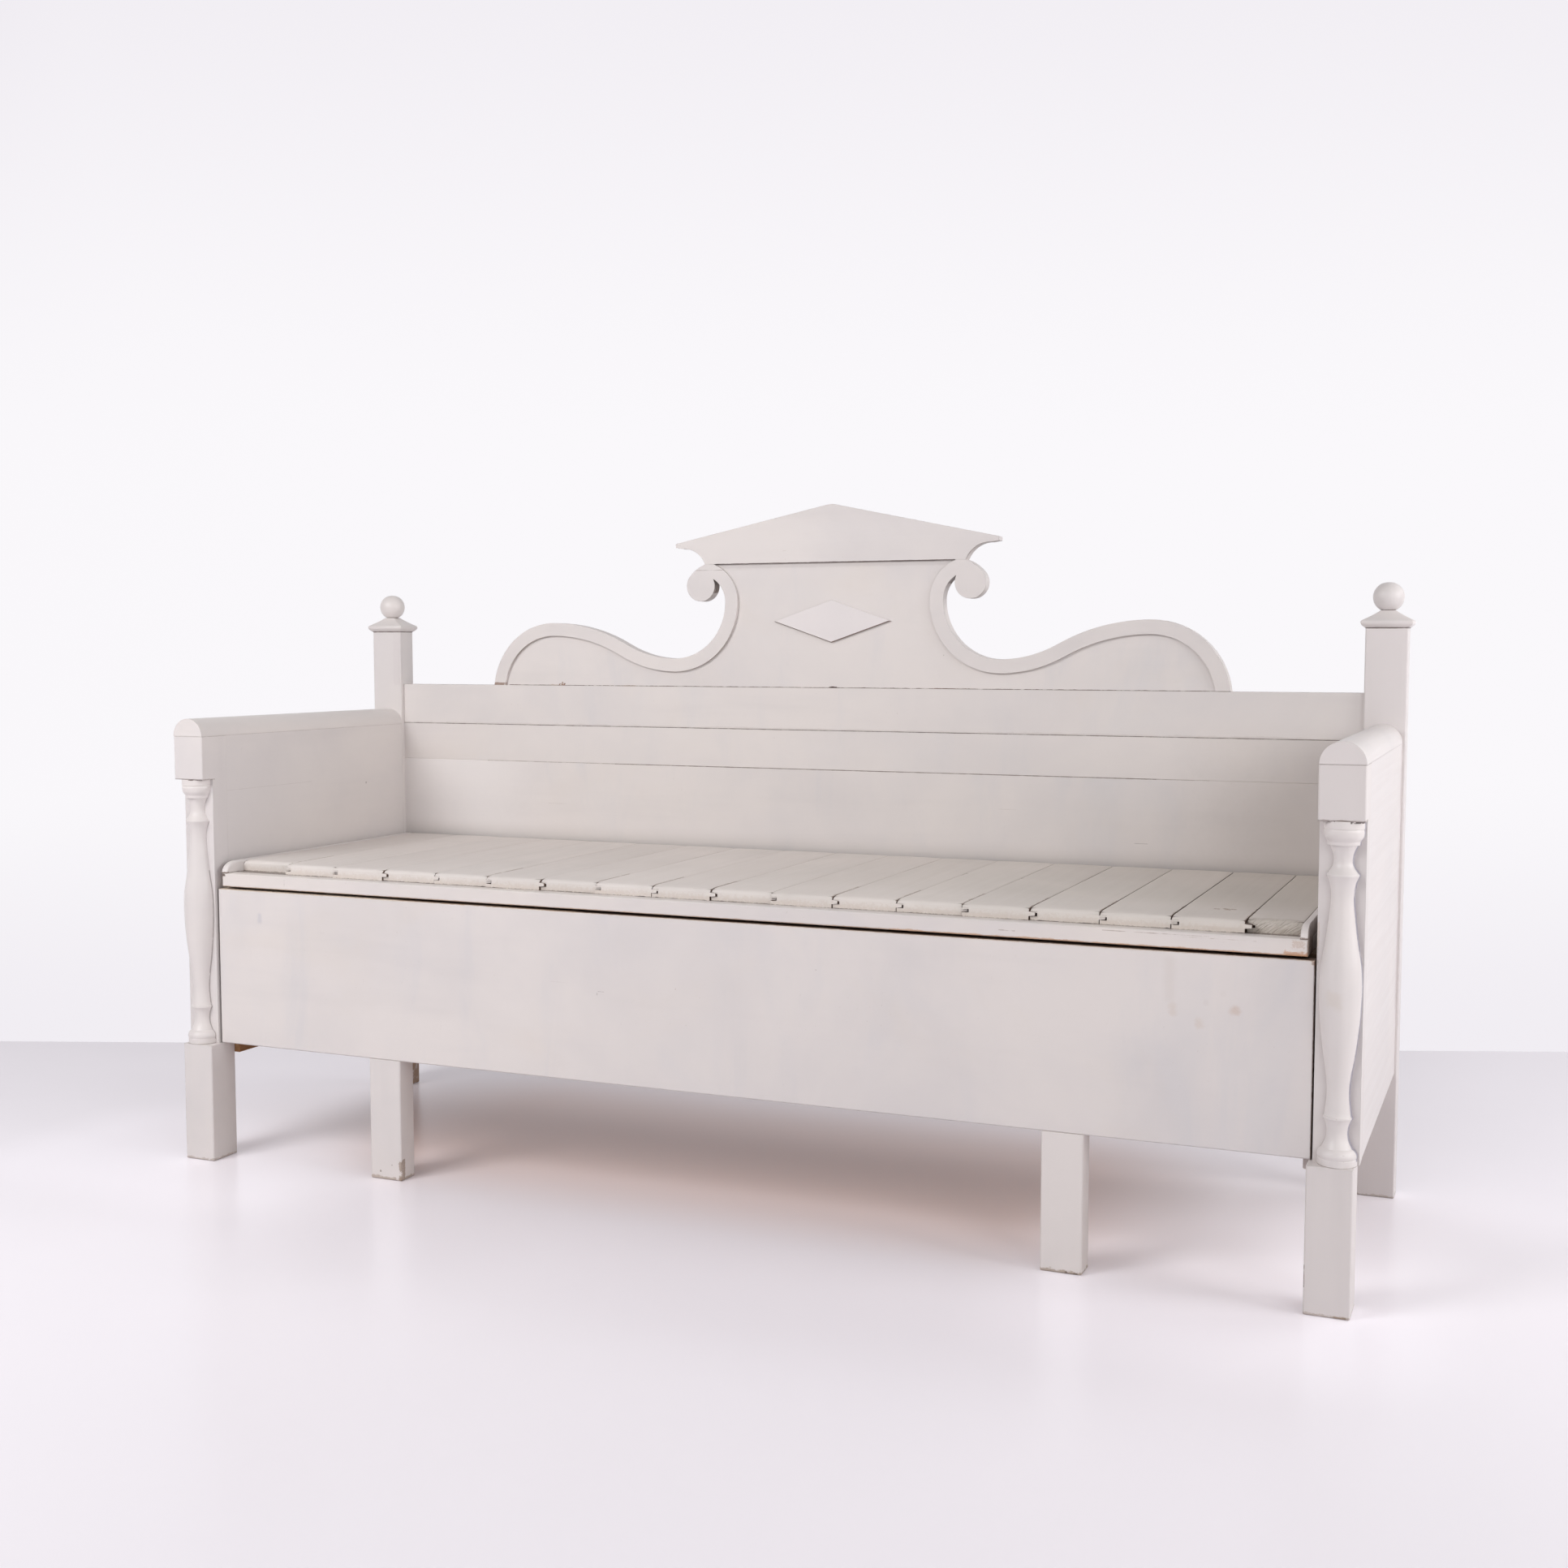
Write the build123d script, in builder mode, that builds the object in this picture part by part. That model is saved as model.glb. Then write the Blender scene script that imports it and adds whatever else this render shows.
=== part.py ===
from build123d import *
from math import asin, atan2, ceil, cos, degrees, radians, sin, sqrt
import os

# Swedish pull-out bench bed in painted pine, millimetres, +Z up.
# The origin is on the floor under the middle of the bench.  The bench faces -Y.
# Three bodies: the fixed frame, the bed box that slides out towards -Y on its
# own two legs, and the seat lid that swings up on two pins at the rear.

# ---------------------------------------------------------------- driving dimensions
# Overall frame
ARM_SPAN = 1866.0            # over the outer faces of the arms
FRAME_DEPTH = 594.0          # arm block's face to the rear post's back
POST_WIDTH = 57.5            # front post and arm, across the bench
FRONT_POST_DEPTH = 58.0
LEG_INSET = 5.0              # front leg stands in from the arm's outer face
LEDGE_HEIGHT = 193.0         # top of the front leg, where the column stands
COLUMN_HEIGHT = 438.0
ARM_BLOCK_HEIGHT = 71.0
RECESS = 24.0                # stile lies back from the leg and the arm block
EASE = 1.5                   # eased edges of sawn and planed timber

# Rear posts, their caps and balls
REAR_POST_WIDTH = 62.0
REAR_POST_DEPTH = 41.0
REAR_POST_HEIGHT = 876.0
CAP_OVERHANG = 7.0
CAP_TIP_RISE = 9.0
CAP_BAND = 1.5
CAP_PYRAMID_RISE = 16.0
CAP_SEAT_WIDTH = 21.0
BALL_WIDTH = 46.0
BALL_SEAT_WIDTH = 15.0
PEG_DIAMETER = 10.0
PEG_LENGTH = 14.0

# Back and arms
BACK_SETBACK = 8.8           # back lies behind the rear post's face
RAIL_THICKNESS = 28.0
PANEL_THICKNESS = 18.0
TOP_RAIL_TOP = 777.0
TOP_RAIL_HEIGHT = 73.0
BACK_SEAM_DROP = 68.0        # upper back board, below the top rail
TENON_LENGTH = 30.0
TENON_THICKNESS = 12.0
TENON_SHOULDER = 10.0
SIDE_RAIL_BOTTOM = 172.0
SIDE_RAIL_HEIGHT = 50.0
SIDE_PANEL_DROP = 27.0       # outer panel reaches below the side rail's top
RUNNER_LIP = 15.5            # side rail stands in from the inner panel

# Crest
CREST_SETBACK = 1.6          # crest's face behind the top rail's face
CREST_THICKNESS = 16.0
APPLIED_THICKNESS = 5.0
BAND_WIDTH = 23.5
HUMP_CENTRE_X = 547.0
HUMP_RADIUS = 128.0
HUMP_TOP_RISE = 114.0        # above the top rail
SHOULDER_RADIUS = 310.0
DIP_RISE = 50.0
THROAT_CENTRE_X = 299.0
THROAT_RADIUS = 99.0
EYE_RADIUS = 46.8
NOTCH_ANGLE = 60.0           # turn of the eye's edge up to the volute's notch
VOLUTE_RADIUS = 27.0
VOLUTE_LIFT_ANGLE = 40.0     # where the volute's disc runs out into its shoulder
PEDIMENT_RISE = 215.0        # lower line of the pediment, above the top rail
PEDIMENT_HEIGHT = 99.0
PEDIMENT_FOOT_HALF = 239.0
PEDIMENT_TIP_HALF = 296.0
PEDIMENT_TIP_DROP = 62.0     # tip's top edge, below the apex
TIP_HEIGHT = 7.0
TIP_LENGTH = 13.0
APEX_ROUNDING = 40.0
LOZENGE_LENGTH = 214.0
LOZENGE_HEIGHT = 73.0
LOZENGE_RISE = 114.5         # its middle, above the top rail

# Pull-out bed
BOARD_SETBACK = 28.0         # front board's face behind the leg's face
FRONT_BOARD_THICKNESS = 22.0
FRONT_BOARD_HEIGHT = 256.8
LEDGE_CLEARANCE = 0.5
STILE_CLEARANCE = 2.5
MIDDLE_LEG_WIDTH = 58.0
MIDDLE_LEG_DEPTH = 36.7
MIDDLE_LEG_CENTRE = 549.0
LAP_HEIGHT = 236.0
BED_SIDE_THICKNESS = 17.5
BED_SIDE_HEIGHT = 203.0
SIDE_CLEARANCE = 3.0
RUNNING_GAP = 0.3            # between what slides and what carries it
SLAT_COUNT = 21              # odd: fixed slats at both ends
SLAT_GAP = 7.0
SLAT_THICKNESS = 18.0
BEARER_WIDTH = 40.0
BEARER_HEIGHT = 35.0
BEARER_CLEARANCE = 5.0       # front bearer behind the middle legs
FRONT_BEARER_HEIGHT = 22.0
FRONT_BEARER_WIDTH = 16.0
STOP_BATTEN_WIDTH = 30.0
STOP_BATTEN_HEIGHT = 32.0
HOUSING_DEPTH = 1.5          # stop batten's relief under the fixed slats

# Seat lid
LID_GAP = 4.3                # front board's top to the lid rail
LID_RAIL_HEIGHT = 22.0
LID_RAIL_WIDTH = 50.0
LID_END_GAP = 11.5           # lid's end to the arm
LID_BATTEN_THICKNESS = 10.0
LID_BATTEN_NOSE = 30.0
LID_BOARD_THICKNESS = 18.2
LID_LEDGE = 21.0             # lid rail's edge in front of the boards
FIRST_BOARD_SETBACK = 20.0
LAST_BOARD_SETBACK = 8.0
BOARD_WANDER = 2.0           # hand-cut board ends wander by this much
FIRST_BOARD_WIDTH = 100.0
LID_BOARD_PITCH = 96.0
LAST_BOARD_LEAST = 20.0      # narrowest last board that is worth fitting
SEAM_GAP = 0.8
TONGUE_LENGTH = 9.0
TONGUE_THICKNESS = 6.0
GROOVE_CLEARANCE = 0.4
SEAM_CHAMFER = 1.4
NOSE_CHAMFER = 3.5
LID_TAIL = 12.0              # lid behind its pivot
SWING_CLEARANCE = 2.5
PIN_RADIUS = 5.0
PIN_CLEARANCE = 0.05
PIN_SETBACK = 0.5            # pin's end short of the boards
CLEAT_WIDTH = 22.0
CLEAT_HEIGHT = 22.0
CLEAT_PIVOT_GAP = 15.0

# Turned column, heights above its foot as the lathe meets them
COLUMN_BASE_RADIUS = 24.5
COLUMN_BELLY_RADIUS = 26.5

# ---------------------------------------------------------------- derived places
INNER_X = ARM_SPAN / 2 - POST_WIDTH
OUTER_X = ARM_SPAN / 2
COLUMN_PROUD = COLUMN_BELLY_RADIUS - RECESS
OVERALL_DEPTH = COLUMN_PROUD + FRAME_DEPTH + CAP_OVERHANG
FRONT_Y = COLUMN_PROUD - OVERALL_DEPTH / 2
STILE_FRONT_Y = FRONT_Y + RECESS
POST_BACK_Y = FRONT_Y + FRONT_POST_DEPTH
REAR_POST_BACK_Y = FRONT_Y + FRAME_DEPTH
REAR_POST_FRONT_Y = REAR_POST_BACK_Y - REAR_POST_DEPTH
REAR_POST_OUTER_X = INNER_X + REAR_POST_WIDTH
BACK_FRONT_Y = REAR_POST_FRONT_Y + BACK_SETBACK
RAIL_BACK_Y = BACK_FRONT_Y + RAIL_THICKNESS
PANEL_BACK_Y = BACK_FRONT_Y + PANEL_THICKNESS
BLOCK_BOTTOM = LEDGE_HEIGHT + COLUMN_HEIGHT
ARM_TOP = BLOCK_BOTTOM + ARM_BLOCK_HEIGHT
SIDE_RAIL_TOP = SIDE_RAIL_BOTTOM + SIDE_RAIL_HEIGHT
RUNNER_X = INNER_X - RUNNER_LIP
TOP_RAIL_BOTTOM = TOP_RAIL_TOP - TOP_RAIL_HEIGHT
BACK_SEAM = TOP_RAIL_BOTTOM - BACK_SEAM_DROP

BOARD_FRONT_Y = FRONT_Y + BOARD_SETBACK
BOARD_BACK_Y = BOARD_FRONT_Y + FRONT_BOARD_THICKNESS
MIDDLE_LEG_BACK_Y = BOARD_FRONT_Y + MIDDLE_LEG_DEPTH
FRONT_BOARD_BOTTOM = LEDGE_HEIGHT + LEDGE_CLEARANCE
FRONT_BOARD_TOP = FRONT_BOARD_BOTTOM + FRONT_BOARD_HEIGHT
FRONT_BOARD_HALF = INNER_X - STILE_CLEARANCE
BED_SIDE_OUTER_X = INNER_X - SIDE_CLEARANCE
BED_SIDE_INNER_X = BED_SIDE_OUTER_X - BED_SIDE_THICKNESS
FIXED_SLAT_Z = SIDE_RAIL_TOP
SLIDING_Z = SIDE_RAIL_TOP + RUNNING_GAP
SLAT_PITCH = (2 * BED_SIDE_INNER_X - SLAT_GAP) / SLAT_COUNT
SLAT_WIDTH = SLAT_PITCH - SLAT_GAP
BEARER_FRONT_Y = MIDDLE_LEG_BACK_Y + BEARER_CLEARANCE
REAR_BEARER_FRONT_Y = REAR_POST_FRONT_Y - BEARER_WIDTH
STOP_BATTEN_BACK_Y = REAR_BEARER_FRONT_Y - BEARER_CLEARANCE
STOP_BATTEN_FRONT_Y = STOP_BATTEN_BACK_Y - STOP_BATTEN_WIDTH

LID_BOTTOM = FRONT_BOARD_TOP + LID_GAP
LID_SEAM = LID_BOTTOM + LID_RAIL_HEIGHT
LID_TOP = LID_SEAM + LID_BOARD_THICKNESS
LID_HALF = INNER_X - LID_END_GAP
LID_INNER_X = LID_HALF - LID_BATTEN_THICKNESS
BOARDS_AFTER_FIRST = 2 * LID_INNER_X - FIRST_BOARD_WIDTH
LID_BOARD_COUNT = 1 + ceil((BOARDS_AFTER_FIRST - LAST_BOARD_LEAST) / LID_BOARD_PITCH)
PIVOT_Z = LID_SEAM
PIVOT_Y = BACK_FRONT_Y - sqrt(LID_TAIL**2 + LID_BOARD_THICKNESS**2) - SWING_CLEARANCE
LID_BACK_Y = PIVOT_Y + LID_TAIL
LID_RAIL_BACK_Y = BOARD_FRONT_Y + LID_RAIL_WIDTH

CREST_FRONT_Y = BACK_FRONT_Y + CREST_SETBACK
CREST_FIELD_Y = CREST_FRONT_Y + APPLIED_THICKNESS
CREST_BACK_Y = CREST_FIELD_Y + CREST_THICKNESS


# ---------------------------------------------------------------- helpers
def keep(piece, name):
    """Label a finished piece and write it."""
    piece.part.label = name
    export_step(piece.part, f"parts/{name}.step")


def keep_pair(piece, name):
    """Write a right-hand piece and its left-hand twin."""
    with BuildPart() as twin:
        mirror(piece.part, about=Plane.YZ)
    keep(piece, f"{name}_right")
    keep(twin, f"{name}_left")


def keep_both(piece, name):
    """Write a right-hand piece and its left-hand twin as one part of two solids."""
    with BuildPart() as both:
        add(piece.part)
        mirror(about=Plane.YZ)
    keep(both, name)


def rectangle_between(x_range, y_range):
    """Rectangle between two corners, inside a sketch."""
    with Locations(((x_range[0] + x_range[1]) / 2, (y_range[0] + y_range[1]) / 2)):
        Rectangle(x_range[1] - x_range[0], y_range[1] - y_range[0])


def timber(x_range, y_range, z_range, eased=None):
    """Squared timber between three pairs of planes, its long edges eased along one axis."""
    with BuildPart() as piece:
        with BuildSketch(Plane.XY.offset(z_range[0])):
            rectangle_between(x_range, y_range)
        extrude(amount=z_range[1] - z_range[0])
        if eased is not None:
            chamfer(piece.edges().filter_by(eased), EASE)
    return piece


def polar(centre, radius, angle):
    """Point on a circle, angle in degrees."""
    return (centre[0] + radius * cos(radians(angle)), centre[1] + radius * sin(radians(angle)))


# ---------------------------------------------------------------- front posts
def front_post():
    """Square leg, recessed stile and arm block, cut from one timber."""
    leg_x = (INNER_X - LEG_INSET, OUTER_X - LEG_INSET)
    arm_x = (INNER_X, OUTER_X)
    with BuildPart() as piece:
        with BuildSketch(Plane.XY):
            rectangle_between(leg_x, (FRONT_Y, POST_BACK_Y))
        extrude(amount=LEDGE_HEIGHT)
        chamfer(piece.edges().group_by(Axis.Z)[0], EASE)
        chamfer(piece.edges().filter_by(Axis.Z), EASE)
        with BuildSketch(Plane.XY.offset(LEDGE_HEIGHT)):
            rectangle_between(arm_x, (STILE_FRONT_Y, POST_BACK_Y))
        extrude(amount=ARM_TOP - LEDGE_HEIGHT)
        with BuildSketch(Plane.XY.offset(BLOCK_BOTTOM)):
            rectangle_between(arm_x, (FRONT_Y, STILE_FRONT_Y))
        extrude(amount=ARM_BLOCK_HEIGHT)
        front_edges = piece.edges().group_by(Axis.Y)[0]
        chamfer(front_edges.filter_by_position(Axis.Z, BLOCK_BOTTOM, ARM_TOP - EASE), EASE)
    return piece


def half_column():
    """Half-round turning: capital, neck ring, vase, lower ring and moulded foot."""
    axis_x = (INNER_X + OUTER_X) / 2
    foot, top = LEDGE_HEIGHT, BLOCK_BOTTOM
    base, belly = COLUMN_BASE_RADIUS, COLUMN_BELLY_RADIUS
    with BuildPart() as piece:
        with BuildSketch(Plane((axis_x, STILE_FRONT_Y, 0), x_dir=(1, 0, 0), z_dir=(0, -1, 0))):
            with BuildLine():
                Line((0, foot), (base, foot))
                Line((base, foot), (base, foot + 9))
                Bezier((base, foot + 9), (base + 0.8, foot + 16), (base - 2, foot + 21), (base - 5, foot + 22))
                Spline(
                    (base - 5, foot + 22),
                    (base - 9.6, foot + 33),
                    (base - 10.8, foot + 43),
                    (base - 7, foot + 60),
                    tangents=((-0.4, 1), (1, 1.4)),
                )
                Line((base - 7, foot + 60), (base - 7, foot + 63))
                Spline(
                    (base - 7, foot + 63),
                    (base - 9.8, foot + 88),
                    (belly - 11, foot + 109),
                    (belly - 5, foot + 151),
                    (belly, foot + 220),
                    (belly - 1.2, foot + 254),
                    (belly - 5.9, foot + 284),
                    (belly - 10.6, foot + 324),
                    (belly - 11.8, foot + 344),
                    (belly - 6, foot + 368),
                    tangents=((-1, 2), (1, 1.2)),
                )
                Line((belly - 6, foot + 368), (belly - 6, foot + 371))
                Spline(
                    (belly - 6, foot + 371),
                    (base - 11.9, foot + 388),
                    (base - 6.7, foot + 407),
                    tangents=((-1.2, 1), (1, 0.7)),
                )
                Line((base - 6.7, foot + 407), (base - 4, foot + 408))
                Line((base - 4, foot + 408), (base - 4, foot + 412))
                Bezier((base - 4, foot + 412), (base, foot + 414), (base + 0.8, foot + 422), (base + 0.8, foot + 427))
                Line((base + 0.8, foot + 427), (base + 0.8, top))
                Line((base + 0.8, top), (0, top))
                Line((0, top), (0, foot))
            make_face()
        column_axis = Axis((axis_x, STILE_FRONT_Y, 0), (0, 0, 1))
        revolve(axis=column_axis, revolution_arc=360)
        split(bisect_by=Plane((axis_x, STILE_FRONT_Y, 0), z_dir=(0, -1, 0)), keep=Keep.TOP)
    return piece


# ---------------------------------------------------------------- arms
def arm_cap():
    """Half-round rail on top of the arm."""
    radius = POST_WIDTH / 2
    with BuildPart() as piece:
        with BuildSketch(Plane((INNER_X + radius, FRONT_Y, ARM_TOP), x_dir=(1, 0, 0), z_dir=(0, -1, 0))):
            Circle(radius)
            with Locations((0, -radius / 2)):
                Rectangle(POST_WIDTH, radius, mode=Mode.SUBTRACT)
        extrude(amount=FRONT_Y - REAR_POST_FRONT_Y)
    return piece


def inner_arm_panel():
    """Inner arm board, bored for the lid's pivot pin."""
    x_range = (INNER_X, INNER_X + PANEL_THICKNESS)
    with BuildPart() as piece:
        with BuildSketch(Plane.XY.offset(SIDE_RAIL_TOP)):
            rectangle_between(x_range, (POST_BACK_Y, REAR_POST_FRONT_Y))
        extrude(amount=ARM_TOP - SIDE_RAIL_TOP)
        with BuildSketch(Plane((INNER_X, PIVOT_Y, PIVOT_Z), z_dir=(1, 0, 0))):
            Circle(PIN_RADIUS)
        extrude(amount=PANEL_THICKNESS, mode=Mode.SUBTRACT)
    return piece


def outer_arm_panel():
    """Outer arm board, flush with the posts."""
    z_range = (SIDE_RAIL_TOP - SIDE_PANEL_DROP, ARM_TOP)
    return timber((OUTER_X - PANEL_THICKNESS, OUTER_X), (POST_BACK_Y, REAR_POST_FRONT_Y), z_range)


def side_rail():
    """Bottom rail of the arm, whose inner lip carries the sliding bed."""
    x_range = (RUNNER_X, OUTER_X - PANEL_THICKNESS)
    return timber(x_range, (POST_BACK_Y, REAR_POST_FRONT_Y), (SIDE_RAIL_BOTTOM, SIDE_RAIL_TOP), Axis.Y)


def pivot_pin():
    """Round iron pin, fast in the arm, that the lid's end batten turns on."""
    start = LID_INNER_X + PIN_SETBACK
    with BuildPart() as piece:
        with BuildSketch(Plane((start, PIVOT_Y, PIVOT_Z), z_dir=(1, 0, 0))):
            Circle(PIN_RADIUS)
        extrude(amount=INNER_X + PANEL_THICKNESS - start)
    return piece


def seat_cleat():
    """Batten on the arm that the closed lid rests on."""
    z_top = LID_BOTTOM - RUNNING_GAP
    y_range = (POST_BACK_Y, PIVOT_Y - CLEAT_PIVOT_GAP)
    return timber((INNER_X - CLEAT_WIDTH, INNER_X), y_range, (z_top - CLEAT_HEIGHT, z_top), Axis.Y)


# ---------------------------------------------------------------- rear posts
def rail_middle_y():
    """Middle plane of the back rails' tenons."""
    return BACK_FRONT_Y + RAIL_THICKNESS / 2


def rear_post():
    """Square rear post with mortises for the back's two rails."""
    mortise_y = (rail_middle_y() - TENON_THICKNESS / 2, rail_middle_y() + TENON_THICKNESS / 2)
    mortise_x = (INNER_X, INNER_X + TENON_LENGTH)
    with BuildPart() as piece:
        with BuildSketch(Plane.XY):
            rectangle_between((INNER_X, REAR_POST_OUTER_X), (REAR_POST_FRONT_Y, REAR_POST_BACK_Y))
        extrude(amount=REAR_POST_HEIGHT)
        chamfer(piece.edges().group_by(Axis.Z)[0], EASE)
        chamfer(piece.edges().filter_by(Axis.Z), EASE)
        for low, high in tenon_heights():
            with BuildSketch(Plane.XY.offset(low)):
                rectangle_between(mortise_x, mortise_y)
            extrude(amount=high - low, mode=Mode.SUBTRACT)
    return piece


def tenon_heights():
    """Height ranges of the top and bottom rails' tenons."""
    top = (TOP_RAIL_BOTTOM + TENON_SHOULDER, TOP_RAIL_TOP - TENON_SHOULDER)
    bottom = (SIDE_RAIL_BOTTOM + TENON_SHOULDER, SIDE_RAIL_TOP - TENON_SHOULDER)
    return (top, bottom)


def cap_outline(post_size):
    """Corners of the cap's moulding and pyramid over a post of the given size, foot at zero."""
    wide = post_size / 2 + CAP_OVERHANG
    seat = CAP_SEAT_WIDTH / 2
    band_top = CAP_TIP_RISE + CAP_BAND
    peak = band_top + CAP_PYRAMID_RISE
    right = [(post_size / 2, 0), (wide, CAP_TIP_RISE), (wide, band_top), (seat, peak)]
    left = [(-x, z) for x, z in reversed(right)]
    return right + left


def post_cap():
    """Cap with a flared underside and a low pyramid, bored for the ball's peg."""
    centre = ((INNER_X + REAR_POST_OUTER_X) / 2, (REAR_POST_FRONT_Y + REAR_POST_BACK_Y) / 2, REAR_POST_HEIGHT)
    with BuildPart() as piece:
        with BuildSketch(Plane(centre, x_dir=(1, 0, 0), z_dir=(0, -1, 0))):
            with BuildLine():
                Polyline(*cap_outline(REAR_POST_WIDTH), close=True)
            make_face()
        extrude(amount=REAR_POST_DEPTH, both=True)
        with BuildSketch(Plane(centre, x_dir=(0, 1, 0), z_dir=(1, 0, 0))):
            with BuildLine():
                Polyline(*cap_outline(REAR_POST_DEPTH), close=True)
            make_face()
        extrude(amount=REAR_POST_WIDTH, both=True, mode=Mode.INTERSECT)
        with Locations(piece.faces().sort_by(Axis.Z)[-1]):
            Hole(PEG_DIAMETER / 2, depth=PEG_LENGTH)
    return piece


def ball_finial():
    """Turned ball with its peg."""
    centre = ((INNER_X + REAR_POST_OUTER_X) / 2, (REAR_POST_FRONT_Y + REAR_POST_BACK_Y) / 2)
    seat_z = REAR_POST_HEIGHT + CAP_TIP_RISE + CAP_BAND + CAP_PYRAMID_RISE
    radius = BALL_WIDTH / 2
    seat_angle = asin(BALL_SEAT_WIDTH / BALL_WIDTH)
    ball_z = seat_z + radius * cos(seat_angle)
    start = degrees(seat_angle) - 90
    with BuildPart() as piece:
        with BuildSketch(Plane((centre[0], centre[1], ball_z), x_dir=(1, 0, 0), z_dir=(0, -1, 0))):
            with BuildLine():
                curve = CenterArc((0, 0), radius, start, 90 - start)
                Line(curve @ 1, (0, seat_z - PEG_LENGTH - ball_z))
                Line((0, seat_z - PEG_LENGTH - ball_z), (PEG_DIAMETER / 2, seat_z - PEG_LENGTH - ball_z))
                Line((PEG_DIAMETER / 2, seat_z - PEG_LENGTH - ball_z), (PEG_DIAMETER / 2, seat_z - ball_z))
                Line((PEG_DIAMETER / 2, seat_z - ball_z), curve @ 0)
            make_face()
        revolve(axis=Axis((centre[0], centre[1], 0), (0, 0, 1)))
    return piece


# ---------------------------------------------------------------- back
def back_rail(z_range):
    """Rail between the rear posts with a tenon at each end."""
    tenon_z = (z_range[0] + TENON_SHOULDER, z_range[1] - TENON_SHOULDER)
    tenon_y = (rail_middle_y() - TENON_THICKNESS / 2, rail_middle_y() + TENON_THICKNESS / 2)
    reach = INNER_X + TENON_LENGTH
    with BuildPart() as piece:
        with BuildSketch(Plane.XY.offset(z_range[0])):
            rectangle_between((-INNER_X, INNER_X), (BACK_FRONT_Y, RAIL_BACK_Y))
        extrude(amount=z_range[1] - z_range[0])
        with BuildSketch(Plane.XY.offset(tenon_z[0])):
            rectangle_between((-reach, reach), tenon_y)
        extrude(amount=tenon_z[1] - tenon_z[0])
    return piece


def back_board(z_range):
    """Wide back board between the rear posts, with a faint eased joint."""
    with BuildPart() as piece:
        with BuildSketch(Plane.XY.offset(z_range[0])):
            rectangle_between((-INNER_X, INNER_X), (BACK_FRONT_Y, PANEL_BACK_Y))
        extrude(amount=z_range[1] - z_range[0])
        front = piece.edges().filter_by(Axis.X).group_by(Axis.Y)[0]
        chamfer(front, SEAM_GAP)
    return piece


# ---------------------------------------------------------------- crest
class Scroll:
    """Compass layout of the crest's S-shaped edge, in the plane of X and Z."""

    def __init__(self, inward):
        """Circles of the edge, moved inward into the board by the given width."""
        hump_top = TOP_RAIL_TOP + HUMP_TOP_RISE
        dip = TOP_RAIL_TOP + DIP_RISE
        span = HUMP_CENTRE_X - THROAT_CENTRE_X
        drop = hump_top - dip
        radii_sum = (span**2 + drop**2) / (2 * drop)
        dip_radius = radii_sum - SHOULDER_RADIUS
        throat_z = dip + THROAT_RADIUS
        self.hump = (HUMP_CENTRE_X, hump_top - HUMP_RADIUS)
        self.hump_radius = HUMP_RADIUS - inward
        self.shoulder = (HUMP_CENTRE_X, hump_top - SHOULDER_RADIUS)
        self.shoulder_radius = SHOULDER_RADIUS - inward
        self.dip = (THROAT_CENTRE_X, dip + dip_radius)
        self.dip_radius = dip_radius + inward
        self.throat = (THROAT_CENTRE_X, throat_z)
        self.throat_radius = THROAT_RADIUS + inward
        self.eye = (THROAT_CENTRE_X - THROAT_RADIUS + EYE_RADIUS, throat_z)
        self.eye_radius = EYE_RADIUS + inward
        self.turn = degrees(atan2(span, radii_sum - drop))
        self.foot_angle = degrees(asin((TOP_RAIL_TOP - self.hump[1]) / self.hump_radius))

    def edge(self):
        """Lines from the foot on the rail up to the throat, joined end to end."""
        CenterArc(self.hump, self.hump_radius, self.foot_angle, 90 - self.foot_angle)
        CenterArc(self.shoulder, self.shoulder_radius, 90, self.turn)
        CenterArc(self.dip, self.dip_radius, 270 + self.turn, -self.turn)
        CenterArc(self.throat, self.throat_radius, 270, -90)

    def foot(self):
        """Point where the edge meets the top rail."""
        return polar(self.hump, self.hump_radius, self.foot_angle)


def volute_edge(scroll):
    """Eye, notch, disc and shoulder of the volute up to the pediment; returns the last point."""
    lower_line = TOP_RAIL_TOP + PEDIMENT_RISE
    notch = polar(scroll.eye, scroll.eye_radius, 180 - NOTCH_ANGLE)
    notch_turn = degrees(asin(0.45))
    disc = (notch[0] + VOLUTE_RADIUS * cos(radians(notch_turn)),
            notch[1] - VOLUTE_RADIUS * sin(radians(notch_turn)))
    start = 180 - notch_turn
    CenterArc(scroll.eye, scroll.eye_radius, 180, -NOTCH_ANGLE)
    CenterArc(disc, VOLUTE_RADIUS, start, 360 + VOLUTE_LIFT_ANGLE - start)
    lift = polar(disc, VOLUTE_RADIUS, VOLUTE_LIFT_ANGLE)
    shoulder_end = (PEDIMENT_FOOT_HALF, lower_line)
    tangent = (-sin(radians(VOLUTE_LIFT_ANGLE)), cos(radians(VOLUTE_LIFT_ANGLE)))
    TangentArc(lift, shoulder_end, tangent=tangent)
    return shoulder_end


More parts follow.
